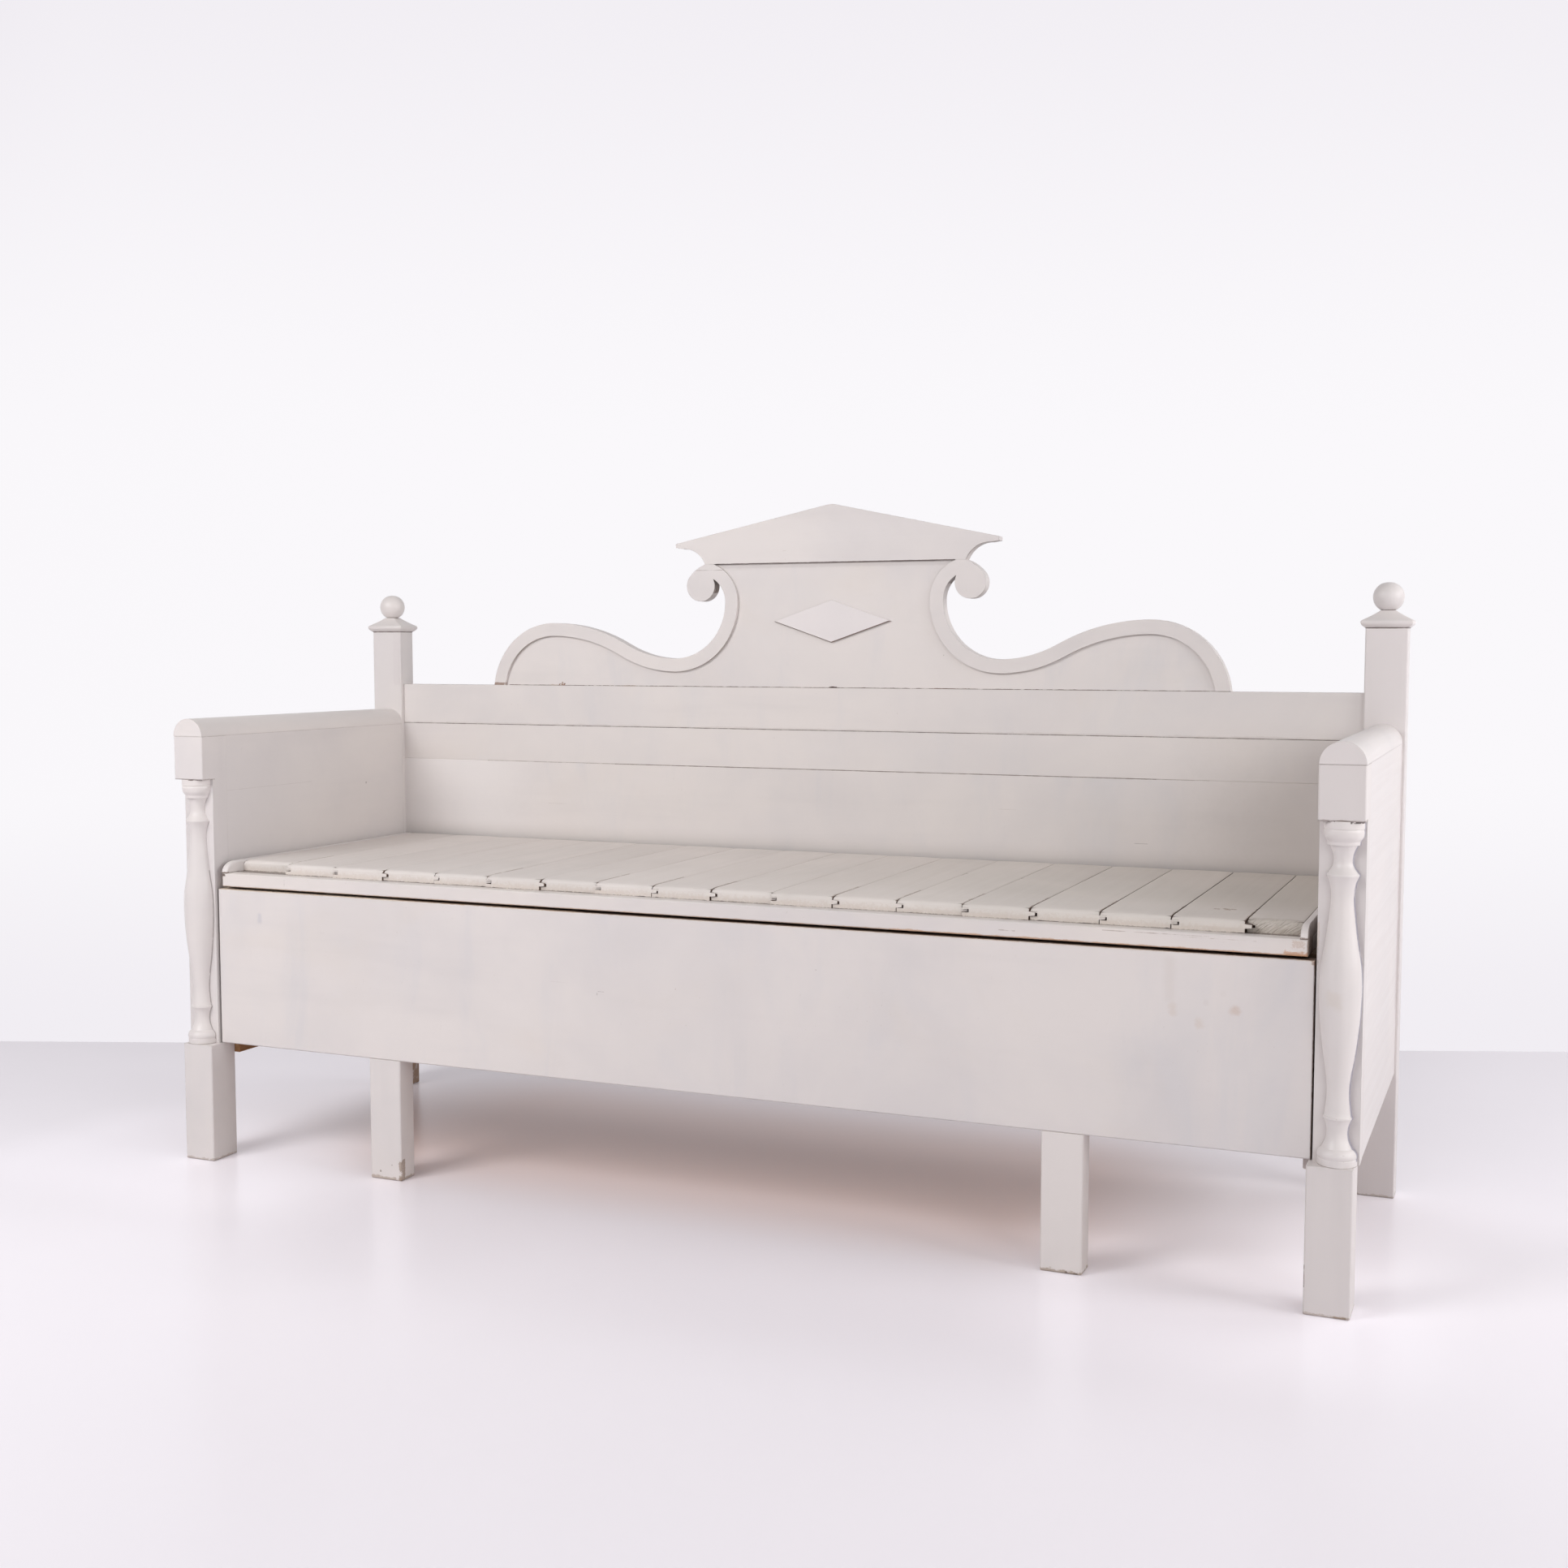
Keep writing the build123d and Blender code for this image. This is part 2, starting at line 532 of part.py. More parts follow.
def pediment_edge():
    """Hollow end, blunt tip and slope of the pediment from its foot to the apex."""
    lower_line = TOP_RAIL_TOP + PEDIMENT_RISE
    apex_z = lower_line + PEDIMENT_HEIGHT
    tip_top = apex_z - PEDIMENT_TIP_DROP
    hollow_end = (PEDIMENT_TIP_HALF - TIP_LENGTH, tip_top - TIP_HEIGHT - 2)
    hollow_middle = (
        PEDIMENT_FOOT_HALF + 0.28 * (hollow_end[0] - PEDIMENT_FOOT_HALF),
        lower_line + 0.62 * (hollow_end[1] - lower_line),
    )
    slope = atan2(PEDIMENT_TIP_DROP, PEDIMENT_TIP_HALF)
    rounding_x = APEX_ROUNDING * sin(slope)
    rounding_start = (rounding_x, apex_z - rounding_x * PEDIMENT_TIP_DROP / PEDIMENT_TIP_HALF)
    rounding_top = (0, rounding_start[1] + APEX_ROUNDING * (1 - cos(slope)))
    ThreePointArc((PEDIMENT_FOOT_HALF, lower_line), hollow_middle, hollow_end)
    Line(hollow_end, (PEDIMENT_TIP_HALF, tip_top - TIP_HEIGHT))
    Line((PEDIMENT_TIP_HALF, tip_top - TIP_HEIGHT), (PEDIMENT_TIP_HALF, tip_top))
    Line((PEDIMENT_TIP_HALF, tip_top), rounding_start)
    TangentArc(rounding_start, rounding_top, tangent=(-cos(slope), sin(slope)))
    return rounding_top


def crest_plane(y):
    """Sketch plane of the crest at a depth, X across and Y of the sketch upwards."""
    return Plane((0, y, 0), x_dir=(1, 0, 0), z_dir=(0, -1, 0))


def crest_board():
    """Scroll-sawn backing board with both volutes and the pediment's outline."""
    scroll = Scroll(0)
    with BuildPart() as piece:
        with BuildSketch(crest_plane(CREST_BACK_Y)):
            with BuildLine():
                scroll.edge()
                volute_edge(scroll)
                apex = pediment_edge()
                Line(apex, (0, TOP_RAIL_TOP))
                Line((0, TOP_RAIL_TOP), scroll.foot())
            make_face()
            mirror(about=Plane.YZ)
        extrude(amount=CREST_THICKNESS)
    return piece


def crest_scroll():
    """Applied S-shaped band that ends in the volute's disc."""
    outer = Scroll(0)
    inner = Scroll(BAND_WIDTH)
    lower_line = TOP_RAIL_TOP + PEDIMENT_RISE
    meeting_angle = degrees(asin((lower_line - inner.eye[1]) / inner.eye_radius))
    meeting = polar(inner.eye, inner.eye_radius, 180 - meeting_angle)
    with BuildPart() as piece:
        with BuildSketch(crest_plane(CREST_FIELD_Y)):
            with BuildLine():
                outer.edge()
                shoulder_end = volute_edge(outer)
                Line(shoulder_end, meeting)
                CenterArc(inner.eye, inner.eye_radius, 180 - meeting_angle, meeting_angle)
                inner.edge()
                Line(inner.foot(), outer.foot())
            make_face()
        extrude(amount=APPLIED_THICKNESS)
    return piece


def crest_pediment():
    """Applied pediment, flush with the scroll bands."""
    lower_line = TOP_RAIL_TOP + PEDIMENT_RISE
    with BuildPart() as piece:
        with BuildSketch(crest_plane(CREST_FIELD_Y)):
            with BuildLine():
                apex = pediment_edge()
                Line(apex, (0, lower_line))
                Line((0, lower_line), (PEDIMENT_FOOT_HALF, lower_line))
            make_face()
            mirror(about=Plane.YZ)
        extrude(amount=APPLIED_THICKNESS)
    return piece


def crest_lozenge():
    """Applied lozenge in the middle of the crest."""
    middle = TOP_RAIL_TOP + LOZENGE_RISE
    with BuildPart() as piece:
        with BuildSketch(crest_plane(CREST_FIELD_Y)):
            with BuildLine():
                Polyline(
                    (-LOZENGE_LENGTH / 2, middle),
                    (0, middle - LOZENGE_HEIGHT / 2),
                    (LOZENGE_LENGTH / 2, middle),
                    (0, middle + LOZENGE_HEIGHT / 2),
                    close=True,
                )
            make_face()
        extrude(amount=APPLIED_THICKNESS)
        chamfer(piece.edges().group_by(Axis.Y)[0], 1.0)
    return piece


# ---------------------------------------------------------------- slatted bottom
def slat_x(index):
    """Middle of a slat, counted from the left."""
    return (index - (SLAT_COUNT - 1) / 2) * SLAT_PITCH


def fixed_slats():
    """Every other slat, nailed to the two bearers."""
    with BuildPart() as piece:
        with BuildSketch(Plane.XY.offset(FIXED_SLAT_Z)):
            for index in range(0, SLAT_COUNT, 2):
                x = slat_x(index)
                rectangle_between((x - SLAT_WIDTH / 2, x + SLAT_WIDTH / 2), (BEARER_FRONT_Y, REAR_POST_FRONT_Y))
        extrude(amount=SLAT_THICKNESS)
    return piece


def slat_bearers():
    """Front and rear bearers, housed between the side rails."""
    front = (BEARER_FRONT_Y, BEARER_FRONT_Y + BEARER_WIDTH)
    rear = (REAR_BEARER_FRONT_Y, REAR_POST_FRONT_Y)
    with BuildPart() as piece:
        with BuildSketch(Plane.XY.offset(FIXED_SLAT_Z - BEARER_HEIGHT)):
            rectangle_between((-RUNNER_X, RUNNER_X), front)
            rectangle_between((-RUNNER_X, RUNNER_X), rear)
        extrude(amount=BEARER_HEIGHT)
    return piece


# ---------------------------------------------------------------- pull-out bed
def bed_front_board():
    """Wide front board that closes the bench."""
    x_range = (-FRONT_BOARD_HALF, FRONT_BOARD_HALF)
    z_range = (FRONT_BOARD_BOTTOM, FRONT_BOARD_TOP)
    with BuildPart() as piece:
        with BuildSketch(Plane.XY.offset(z_range[0])):
            rectangle_between(x_range, (BOARD_FRONT_Y, BOARD_BACK_Y))
        extrude(amount=z_range[1] - z_range[0])
        chamfer(piece.faces().sort_by(Axis.Y)[0].edges(), EASE)
    return piece


def middle_leg():
    """Leg flush with the front board and halved over its back."""
    x_range = (MIDDLE_LEG_CENTRE - MIDDLE_LEG_WIDTH / 2, MIDDLE_LEG_CENTRE + MIDDLE_LEG_WIDTH / 2)
    with BuildPart() as piece:
        with BuildSketch(Plane.XY):
            rectangle_between(x_range, (BOARD_FRONT_Y, MIDDLE_LEG_BACK_Y))
        extrude(amount=FRONT_BOARD_BOTTOM)
        chamfer(piece.edges().group_by(Axis.Z)[0], EASE)
        chamfer(piece.edges().filter_by(Axis.Z), EASE)
        with BuildSketch(Plane.XY.offset(FRONT_BOARD_BOTTOM)):
            rectangle_between(x_range, (BOARD_BACK_Y, MIDDLE_LEG_BACK_Y))
        extrude(amount=LAP_HEIGHT)
    return piece


def bed_side():
    """Side board that slides on the side rail's lip."""
    y_range = (BOARD_BACK_Y, STOP_BATTEN_BACK_Y)
    z_range = (SLIDING_Z, SLIDING_Z + BED_SIDE_HEIGHT)
    return timber((BED_SIDE_INNER_X, BED_SIDE_OUTER_X), y_range, z_range, Axis.Y)


def bed_slats():
    """Slats of the pull-out bed, between the fixed ones, notched round the middle legs."""
    leg_half = MIDDLE_LEG_WIDTH / 2
    with BuildPart() as piece:
        with BuildSketch(Plane.XY.offset(SLIDING_Z)):
            for index in range(1, SLAT_COUNT, 2):
                x = slat_x(index)
                rectangle_between((x - SLAT_WIDTH / 2, x + SLAT_WIDTH / 2), (BOARD_BACK_Y, STOP_BATTEN_BACK_Y))
            for side in (-1, 1):
                with Locations((side * MIDDLE_LEG_CENTRE, (BOARD_BACK_Y + MIDDLE_LEG_BACK_Y) / 2)):
                    Rectangle(2 * leg_half, MIDDLE_LEG_BACK_Y - BOARD_BACK_Y, mode=Mode.SUBTRACT)
        extrude(amount=SLAT_THICKNESS)
    return piece


def bed_bearer():
    """Batten behind the front board, in three lengths between the middle legs."""
    inner = MIDDLE_LEG_CENTRE - MIDDLE_LEG_WIDTH / 2
    outer = MIDDLE_LEG_CENTRE + MIDDLE_LEG_WIDTH / 2
    y_range = (BOARD_BACK_Y, BOARD_BACK_Y + FRONT_BEARER_WIDTH)
    with BuildPart() as piece:
        with BuildSketch(Plane.XY.offset(SLIDING_Z - FRONT_BEARER_HEIGHT)):
            rectangle_between((-inner, inner), y_range)
            rectangle_between((outer, BED_SIDE_INNER_X), y_range)
            rectangle_between((-BED_SIDE_INNER_X, -outer), y_range)
        extrude(amount=FRONT_BEARER_HEIGHT)
    return piece


def bed_stop_batten():
    """Batten under the sliding slats' ends, relieved under the fixed slats."""
    half = RUNNER_X - SIDE_CLEARANCE
    y_range = (STOP_BATTEN_FRONT_Y, STOP_BATTEN_BACK_Y)
    with BuildPart() as piece:
        with BuildSketch(Plane.XY.offset(SLIDING_Z - STOP_BATTEN_HEIGHT)):
            rectangle_between((-half, half), y_range)
        extrude(amount=STOP_BATTEN_HEIGHT)
        with BuildSketch(Plane.XY.offset(SLIDING_Z - HOUSING_DEPTH)):
            for index in range(0, SLAT_COUNT, 2):
                x = slat_x(index)
                rectangle_between((x - SLAT_PITCH / 2, x + SLAT_PITCH / 2), y_range)
        extrude(amount=HOUSING_DEPTH, mode=Mode.SUBTRACT)
    return piece


# ---------------------------------------------------------------- seat lid
def lid_board(x_range, front_y, first, last):
    """Tongue-and-groove board: tongue to the right, groove to the left."""
    low, high = LID_SEAM, LID_TOP
    middle = (low + high) / 2
    left, right = x_range
    tongue = TONGUE_THICKNESS / 2
    groove = tongue + GROOVE_CLEARANCE / 2
    groove_end = left + TONGUE_LENGTH + GROOVE_CLEARANCE - SEAM_GAP
    with BuildPart() as piece:
        with BuildSketch(Plane((0, front_y, 0), x_dir=(1, 0, 0), z_dir=(0, -1, 0))):
            with BuildLine():
                outline = [(left, low), (right, low)]
                if not last:
                    outline += [(right, middle - tongue), (right + TONGUE_LENGTH, middle - tongue)]
                    outline += [(right + TONGUE_LENGTH, middle + tongue), (right, middle + tongue)]
                outline += [(right, high - SEAM_CHAMFER), (right - SEAM_CHAMFER, high)]
                outline += [(left + SEAM_CHAMFER, high), (left, high - SEAM_CHAMFER)]
                if not first:
                    outline += [(left, middle + groove), (groove_end, middle + groove)]
                    outline += [(groove_end, middle - groove), (left, middle - groove)]
                Polyline(*outline, close=True)
            make_face()
        extrude(amount=front_y - LID_BACK_Y)
        nose = piece.edges().filter_by(Axis.X).group_by(Axis.Y)[0].sort_by(Axis.Z)[-1]
        chamfer(nose, NOSE_CHAMFER, NOSE_CHAMFER * 0.8)
    return piece


def lid_boards():
    """All seat boards from left to right, as pairs of piece and name."""
    boards = []
    for index in range(LID_BOARD_COUNT):
        first = index == 0
        last = index == LID_BOARD_COUNT - 1
        left = -LID_INNER_X + (0 if first else FIRST_BOARD_WIDTH + (index - 1) * LID_BOARD_PITCH + SEAM_GAP)
        right = LID_INNER_X if last else -LID_INNER_X + FIRST_BOARD_WIDTH + index * LID_BOARD_PITCH
        setback = BOARD_WANDER * sin(2.3 * index)
        setback += FIRST_BOARD_SETBACK if first else 0
        setback += LAST_BOARD_SETBACK if last else 0
        front_y = BOARD_FRONT_Y + LID_LEDGE + setback
        boards.append((lid_board((left, right), front_y, first, last), f"lid_board_{index + 1:02d}"))
    return boards


def lid_front_rail():
    """Rail under the boards' front ends, its edge standing forward as a ledge."""
    y_range = (BOARD_FRONT_Y, LID_RAIL_BACK_Y)
    with BuildPart() as piece:
        with BuildSketch(Plane.XY.offset(LID_BOTTOM)):
            rectangle_between((-LID_HALF, LID_HALF), y_range)
        extrude(amount=LID_RAIL_HEIGHT)
        chamfer(piece.faces().sort_by(Axis.Y)[0].edges(), EASE)
    return piece


def lid_rear_rail():
    """Rail under the boards' rear ends, between the end battens."""
    y_range = (LID_BACK_Y - LID_RAIL_WIDTH, LID_BACK_Y)
    return timber((-LID_INNER_X, LID_INNER_X), y_range, (LID_BOTTOM, LID_SEAM))


def lid_end_batten():
    """Batten on the lid's end with a rounded nose over the front rail, bored for the pivot pin."""
    nose_end = BOARD_FRONT_Y + LID_BATTEN_NOSE
    with BuildPart() as piece:
        with BuildSketch(Plane((LID_INNER_X, 0, 0), x_dir=(0, 1, 0), z_dir=(1, 0, 0))):
            with BuildLine():
                nose_radii = (LID_BATTEN_NOSE, LID_BOARD_THICKNESS)
                EllipticalCenterArc((nose_end, LID_SEAM), *nose_radii, 90, arc_size=90)
                Polyline(
                    (BOARD_FRONT_Y, LID_SEAM),
                    (LID_RAIL_BACK_Y, LID_SEAM),
                    (LID_RAIL_BACK_Y, LID_BOTTOM),
                    (LID_BACK_Y, LID_BOTTOM),
                    (LID_BACK_Y, LID_TOP),
                    (nose_end, LID_TOP),
                )
            make_face()
            with Locations((PIVOT_Y, PIVOT_Z)):
                Circle(PIN_RADIUS + PIN_CLEARANCE, mode=Mode.SUBTRACT)
        extrude(amount=LID_BATTEN_THICKNESS)
    return piece


# ---------------------------------------------------------------- build and write
def main():
    """Build every piece and write one file for each."""
    os.makedirs("parts", exist_ok=True)

    keep_pair(front_post(), "front_post")
    keep_both(half_column(), "half_columns")
    keep_pair(arm_cap(), "arm_cap")
    keep_pair(inner_arm_panel(), "arm_inner_panel")
    keep_pair(outer_arm_panel(), "arm_outer_panel")
    keep_both(side_rail(), "side_rails")
    keep_both(seat_cleat(), "seat_cleats")
    keep_both(pivot_pin(), "lid_pivot_pins")
    keep_pair(rear_post(), "rear_post")
    keep_pair(post_cap(), "post_cap")
    keep_both(ball_finial(), "ball_finials")

    keep(back_rail((TOP_RAIL_BOTTOM, TOP_RAIL_TOP)), "back_top_rail")
    keep(back_board((BACK_SEAM, TOP_RAIL_BOTTOM)), "back_upper_board")
    keep(back_board((SIDE_RAIL_TOP, BACK_SEAM)), "back_lower_board")
    keep(back_rail((SIDE_RAIL_BOTTOM, SIDE_RAIL_TOP)), "back_bottom_rail")
    keep(crest_board(), "crest_board")
    keep_pair(crest_scroll(), "crest_scroll")
    keep(crest_pediment(), "crest_pediment")
    keep(crest_lozenge(), "crest_lozenge")
    keep(fixed_slats(), "fixed_slats")
    keep(slat_bearers(), "slat_bearers")

    keep(bed_front_board(), "bed_front_board")
    keep_pair(middle_leg(), "middle_leg")
    keep_pair(bed_side(), "bed_side")
    keep(bed_slats(), "bed_slats")
    keep(bed_bearer(), "bed_bearer")
    keep(bed_stop_batten(), "bed_stop_batten")

    for board, name in lid_boards():
        keep(board, name)
    keep(lid_front_rail(), "lid_front_rail")
    keep(lid_rear_rail(), "lid_rear_rail")
    keep_pair(lid_end_batten(), "lid_end_batten")


main()
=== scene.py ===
"""Looks of a painted pull-out bench bed: finishes, turned work, worn boards, floor, light and camera."""

import logging
import math
from dataclasses import dataclass, replace
from enum import Enum
from typing import Callable, Iterable, Sequence

import bmesh
import bpy
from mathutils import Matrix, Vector, noise

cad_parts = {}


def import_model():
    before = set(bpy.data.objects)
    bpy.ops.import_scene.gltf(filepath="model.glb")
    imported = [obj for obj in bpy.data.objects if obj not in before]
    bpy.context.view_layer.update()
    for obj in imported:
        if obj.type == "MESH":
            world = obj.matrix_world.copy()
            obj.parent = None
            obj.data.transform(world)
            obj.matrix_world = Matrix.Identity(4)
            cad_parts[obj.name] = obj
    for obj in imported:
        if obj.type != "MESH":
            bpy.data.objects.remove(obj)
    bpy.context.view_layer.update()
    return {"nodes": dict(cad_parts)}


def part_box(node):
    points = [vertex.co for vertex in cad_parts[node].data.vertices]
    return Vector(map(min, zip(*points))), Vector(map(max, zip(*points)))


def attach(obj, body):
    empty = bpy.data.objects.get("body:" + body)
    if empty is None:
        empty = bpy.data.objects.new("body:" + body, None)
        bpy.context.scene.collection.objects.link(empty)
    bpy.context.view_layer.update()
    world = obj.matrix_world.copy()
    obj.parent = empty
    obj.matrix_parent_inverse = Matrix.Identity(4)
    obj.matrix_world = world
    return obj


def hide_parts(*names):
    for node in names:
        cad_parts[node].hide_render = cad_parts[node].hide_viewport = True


log = logging.getLogger("bench_bed")

Pair = tuple[float, float]
Triple = tuple[float, float, float]
Colour = tuple[float, float, float]
Socket = bpy.types.NodeSocket
Piece = bpy.types.Object

# Metres within which a corner lies on a plane, and past which it is off it.
ON_PLANE = 1e-5
OFF_PLANE = 1e-4
# Fineness of the noise that most patches share, per metre.
COMMON_RAG = 90.0
# Scale of a pattern that is drawn out on no axis.
EVEN = (1.0, 1.0, 1.0)


class Grain(Enum):
    """Direction that the wood's fibres and the brush strokes run in."""

    ACROSS = (1.0, 0.0, 0.0)
    DEPTH = (0.0, 1.0, 0.0)
    UPRIGHT = (0.0, 0.0, 1.0)

    def scale(self, fine: float, coarse: float) -> Triple:
        """Scale of a pattern that is coarse along the grain and fine across it."""
        return tuple(coarse if step else fine for step in self.value)


def srgb(red: float, green: float, blue: float) -> tuple[float, float, float, float]:
    """Turn a paint chip's 0-255 values into a linear colour.

    Args:
        red: Red value.
        green: Green value.
        blue: Blue value.

    Returns:
        Linear red, green, blue and an alpha of one.
    """

    def linear(value: float) -> float:
        """One channel."""
        share = value / 255.0
        return share / 12.92 if share <= 0.04045 else ((share + 0.055) / 1.055) ** 2.4

    return (linear(red), linear(green), linear(blue), 1.0)


class Tone(Enum):
    """Colours of dirt, wear, painted shade and highlight, wood, iron and the studio, 0-255."""

    SPECK = (150, 132, 116)
    SMEAR = (192, 194, 202)
    STAIN = (214, 202, 190)
    GRIME = (116, 98, 88)
    BARE_EDGE = (160, 134, 110)
    RUBBED_EDGE = (240, 236, 232)
    SAW_HOLLOW = (112, 98, 86)
    AGED_PINE = (196, 166, 130)
    AGED_PINE_FIBRE = (170, 136, 102)
    PINE_LINE = (112, 78, 50)
    PINE_GREY = (120, 104, 88)
    WASH = (216, 208, 206)
    IRON = (78, 74, 70)
    RUST = (96, 62, 40)
    FLOOR = (247, 243, 249)
    FLOOR_CLOUD = (243, 239, 245)
    FLOOR_NEAR = (241, 237, 243)
    FLOOR_UNDER = (248, 222, 214)
    FLOOR_GLOW = (246, 240, 250)
    WALL = (250, 248, 251)
    WALL_DIM = (238, 234, 240)
    SURROUNDINGS = (249, 247, 250)

    @property
    def linear(self) -> tuple[float, float, float, float]:
        """The tone as a linear colour."""
        return srgb(*self.value)


@dataclass(frozen=True)
class Patch:
    """A worn, stained or dirty place: a box with soft, ragged borders.

    Attributes:
        low: Lowest corner.
        high: Highest corner.
        colour: Colour that shows there, 0-255.
        soft: Width of the border.
        ragged: How far noise moves the border.
        strength: Share of the colour at the middle.
        scale: Fineness of the ragged border, per metre.
    """

    low: Triple
    high: Triple
    colour: Colour
    soft: float = 0.002
    ragged: float = 0.003
    strength: float = 0.8
    scale: float = COMMON_RAG


def crack(low: Triple, high: Triple, colour: Colour = (96, 82, 76), strength: float = 0.9,
          ragged: float = 0.0004) -> Patch:
    """Fine dark line where two boards meet or one has split."""
    return Patch(low, high, colour, 0.0006, ragged, strength, 60.0)


@dataclass(frozen=True)
class Face:
    """Thin slab of space round an upright face, for marks laid out across and upwards."""

    near: float
    far: float

    def mark(self, low: Pair, high: Pair, colour: Colour, *rest: float) -> Patch:
        """Worn or dirty place on the face, whose last values are those of Patch in order."""
        return Patch((low[0], self.near, low[1]), (high[0], self.far, high[1]), colour, *rest)

    def line(self, low: Pair, high: Pair, colour: Colour, *rest: float) -> Patch:
        """Fine dark line on the face, whose last values are those of crack in order."""
        return crack((low[0], self.near, low[1]), (high[0], self.far, high[1]), colour, *rest)


class Shader:
    """Node tree of one material, with the steps that the finishes share."""

    def __init__(self, name: str) -> None:
        """Start an empty tree with a principled surface.

        Args:
            name: Name of the material.
        """
        self.material = bpy.data.materials.new(name)
        self.material.use_nodes = True
        self.tree = self.material.node_tree
        self.tree.nodes.clear()
        self.output = self.add("ShaderNodeOutputMaterial")
        self.surface = self.add("ShaderNodeBsdfPrincipled")
        self.link(self.surface.outputs["BSDF"], self.output.inputs["Surface"])
        coordinates = self.add("ShaderNodeTexCoord")
        self.place = coordinates.outputs["Object"]
        self.facing = coordinates.outputs["Normal"]

    def add(self, kind: str) -> bpy.types.Node:
        """Add a node of the given kind."""
        return self.tree.nodes.new(kind)

    def link(self, source: Socket, target: Socket) -> None:
        """Join two sockets."""
        self.tree.links.new(source, target)

    def stretched(self, scale: Triple, shift: Triple = (0.0, 0.0, 0.0)) -> Socket:
        """Object coordinates moved and scaled, for patterns with a direction.

        Args:
            scale: Scale on each axis.
            shift: Offset in metres, before the scale.

        Returns:
            The vector socket.
        """
        node = self.add("ShaderNodeMapping")
        node.inputs["Scale"].default_value = scale
        node.inputs["Location"].default_value = shift
        self.link(self.place, node.inputs["Vector"])
        return node.outputs["Vector"]

    def noise(self, vector: Socket, scale: float, detail: float = 3.0, roughness: float = 0.55,
              distortion: float = 0.0) -> Socket:
        """Fractal noise on a vector, from nought to one.

        Args:
            vector: Coordinates that the noise is read at.
            scale: Fineness of the largest lumps.
            detail: Number of finer layers.
            roughness: Strength of each finer layer.
            distortion: How far the lumps are bent.

        Returns:
            The noise's socket.
        """
        node = self.add("ShaderNodeTexNoise")
        node.inputs["Scale"].default_value = scale
        node.inputs["Detail"].default_value = detail
        node.inputs["Roughness"].default_value = roughness
        node.inputs["Distortion"].default_value = distortion
        self.link(vector, node.inputs["Vector"])
        return node.outputs["Fac"]

    def remap(self, value: Socket, low: float, high: float, to_low: float = 0.0, to_high: float = 1.0) -> Socket:
        """Smooth step of a value from one range to another.

        Args:
            value: The value.
            low: Start of its range.
            high: End of its range.
            to_low: What the start becomes.
            to_high: What the end becomes.

        Returns:
            The new value's socket.
        """
        node = self.add("ShaderNodeMapRange")
        node.interpolation_type = "SMOOTHSTEP"
        node.inputs["From Min"].default_value = low
        node.inputs["From Max"].default_value = high
        node.inputs["To Min"].default_value = to_low
        node.inputs["To Max"].default_value = to_high
        self.link(value, node.inputs["Value"])
        return node.outputs["Result"]

    def sum(self, kind: str, first: Socket, second: Socket | float) -> Socket:
        """Arithmetic on two values.

        Args:
            kind: Blender's name of the operation.
            first: The first value.
            second: The second value, which may be a number.

        Returns:
            The result's socket.
        """
        node = self.add("ShaderNodeMath")
        node.operation = kind
        self.link(first, node.inputs[0])
        if isinstance(second, (int, float)):
            node.inputs[1].default_value = second
        else:
            self.link(second, node.inputs[1])
        return node.outputs[0]

    def times(self, first: Socket, second: Socket | float) -> Socket:
        """Product of two values, of which the second may be a number."""
        return self.sum("MULTIPLY", first, second)

    def blend(self, share: Socket, under: Socket | Sequence[float], over: Socket | Sequence[float]) -> Socket:
        """Mix two colours.

        Args:
            share: Share of the second colour.
            under: The first colour.
            over: The second colour.

        Returns:
            The mixed colour's socket.
        """
        node = self.add("ShaderNodeMix")
        node.data_type = "RGBA"
        self.link(share, node.inputs[0])
        for socket, colour in ((node.inputs[6], under), (node.inputs[7], over)):
            if isinstance(colour, Socket):
                self.link(colour, socket)
            else:
                socket.default_value = colour
        return node.outputs[2]

    def vector(self, kind: str, first: Socket, second: Triple | None = None) -> Socket:
        """Vector arithmetic with a constant.

        Args:
            kind: Blender's name of the operation.
            first: The vector.
            second: The constant, if the operation takes one.

        Returns:
            The result's socket.
        """
        node = self.add("ShaderNodeVectorMath")
        node.operation = kind
        self.link(first, node.inputs[0])
        if second is not None:
            node.inputs[1].default_value = second
        return node.outputs["Value"] if kind == "LENGTH" else node.outputs["Vector"]

    def split(self, vector: Socket) -> tuple[Socket, ...]:
        """Parts of a vector along the three axes.

        Args:
            vector: The vector.

        Returns:
            Three sockets.
        """
        node = self.add("ShaderNodeSeparateXYZ")
        self.link(vector, node.inputs[0])
        return tuple(node.outputs)

    def inside(self, patch: Patch, ragged: Socket) -> Socket:
        """Mask of a patch: one inside its box, fading over its ragged border.

        Args:
            patch: The place.
            ragged: Noise that moves the border.

        Returns:
            Mask socket, at most the patch's strength.
        """
        centre = tuple((a + b) / 2 for a, b in zip(patch.low, patch.high))
        half = tuple((b - a) / 2 for a, b in zip(patch.low, patch.high))
        away = self.vector("ABSOLUTE", self.vector("SUBTRACT", self.place, centre))
        beyond = self.vector("MAXIMUM", self.vector("SUBTRACT", away, half), (0.0, 0.0, 0.0))
        distance = self.vector("LENGTH", beyond)
        shift = self.times(self.sum("SUBTRACT", ragged, 0.5), 4.0 * patch.ragged)
        moved = self.sum("ADD", distance, shift)
        return self.remap(moved, 0.0, patch.soft, patch.strength, 0.0)

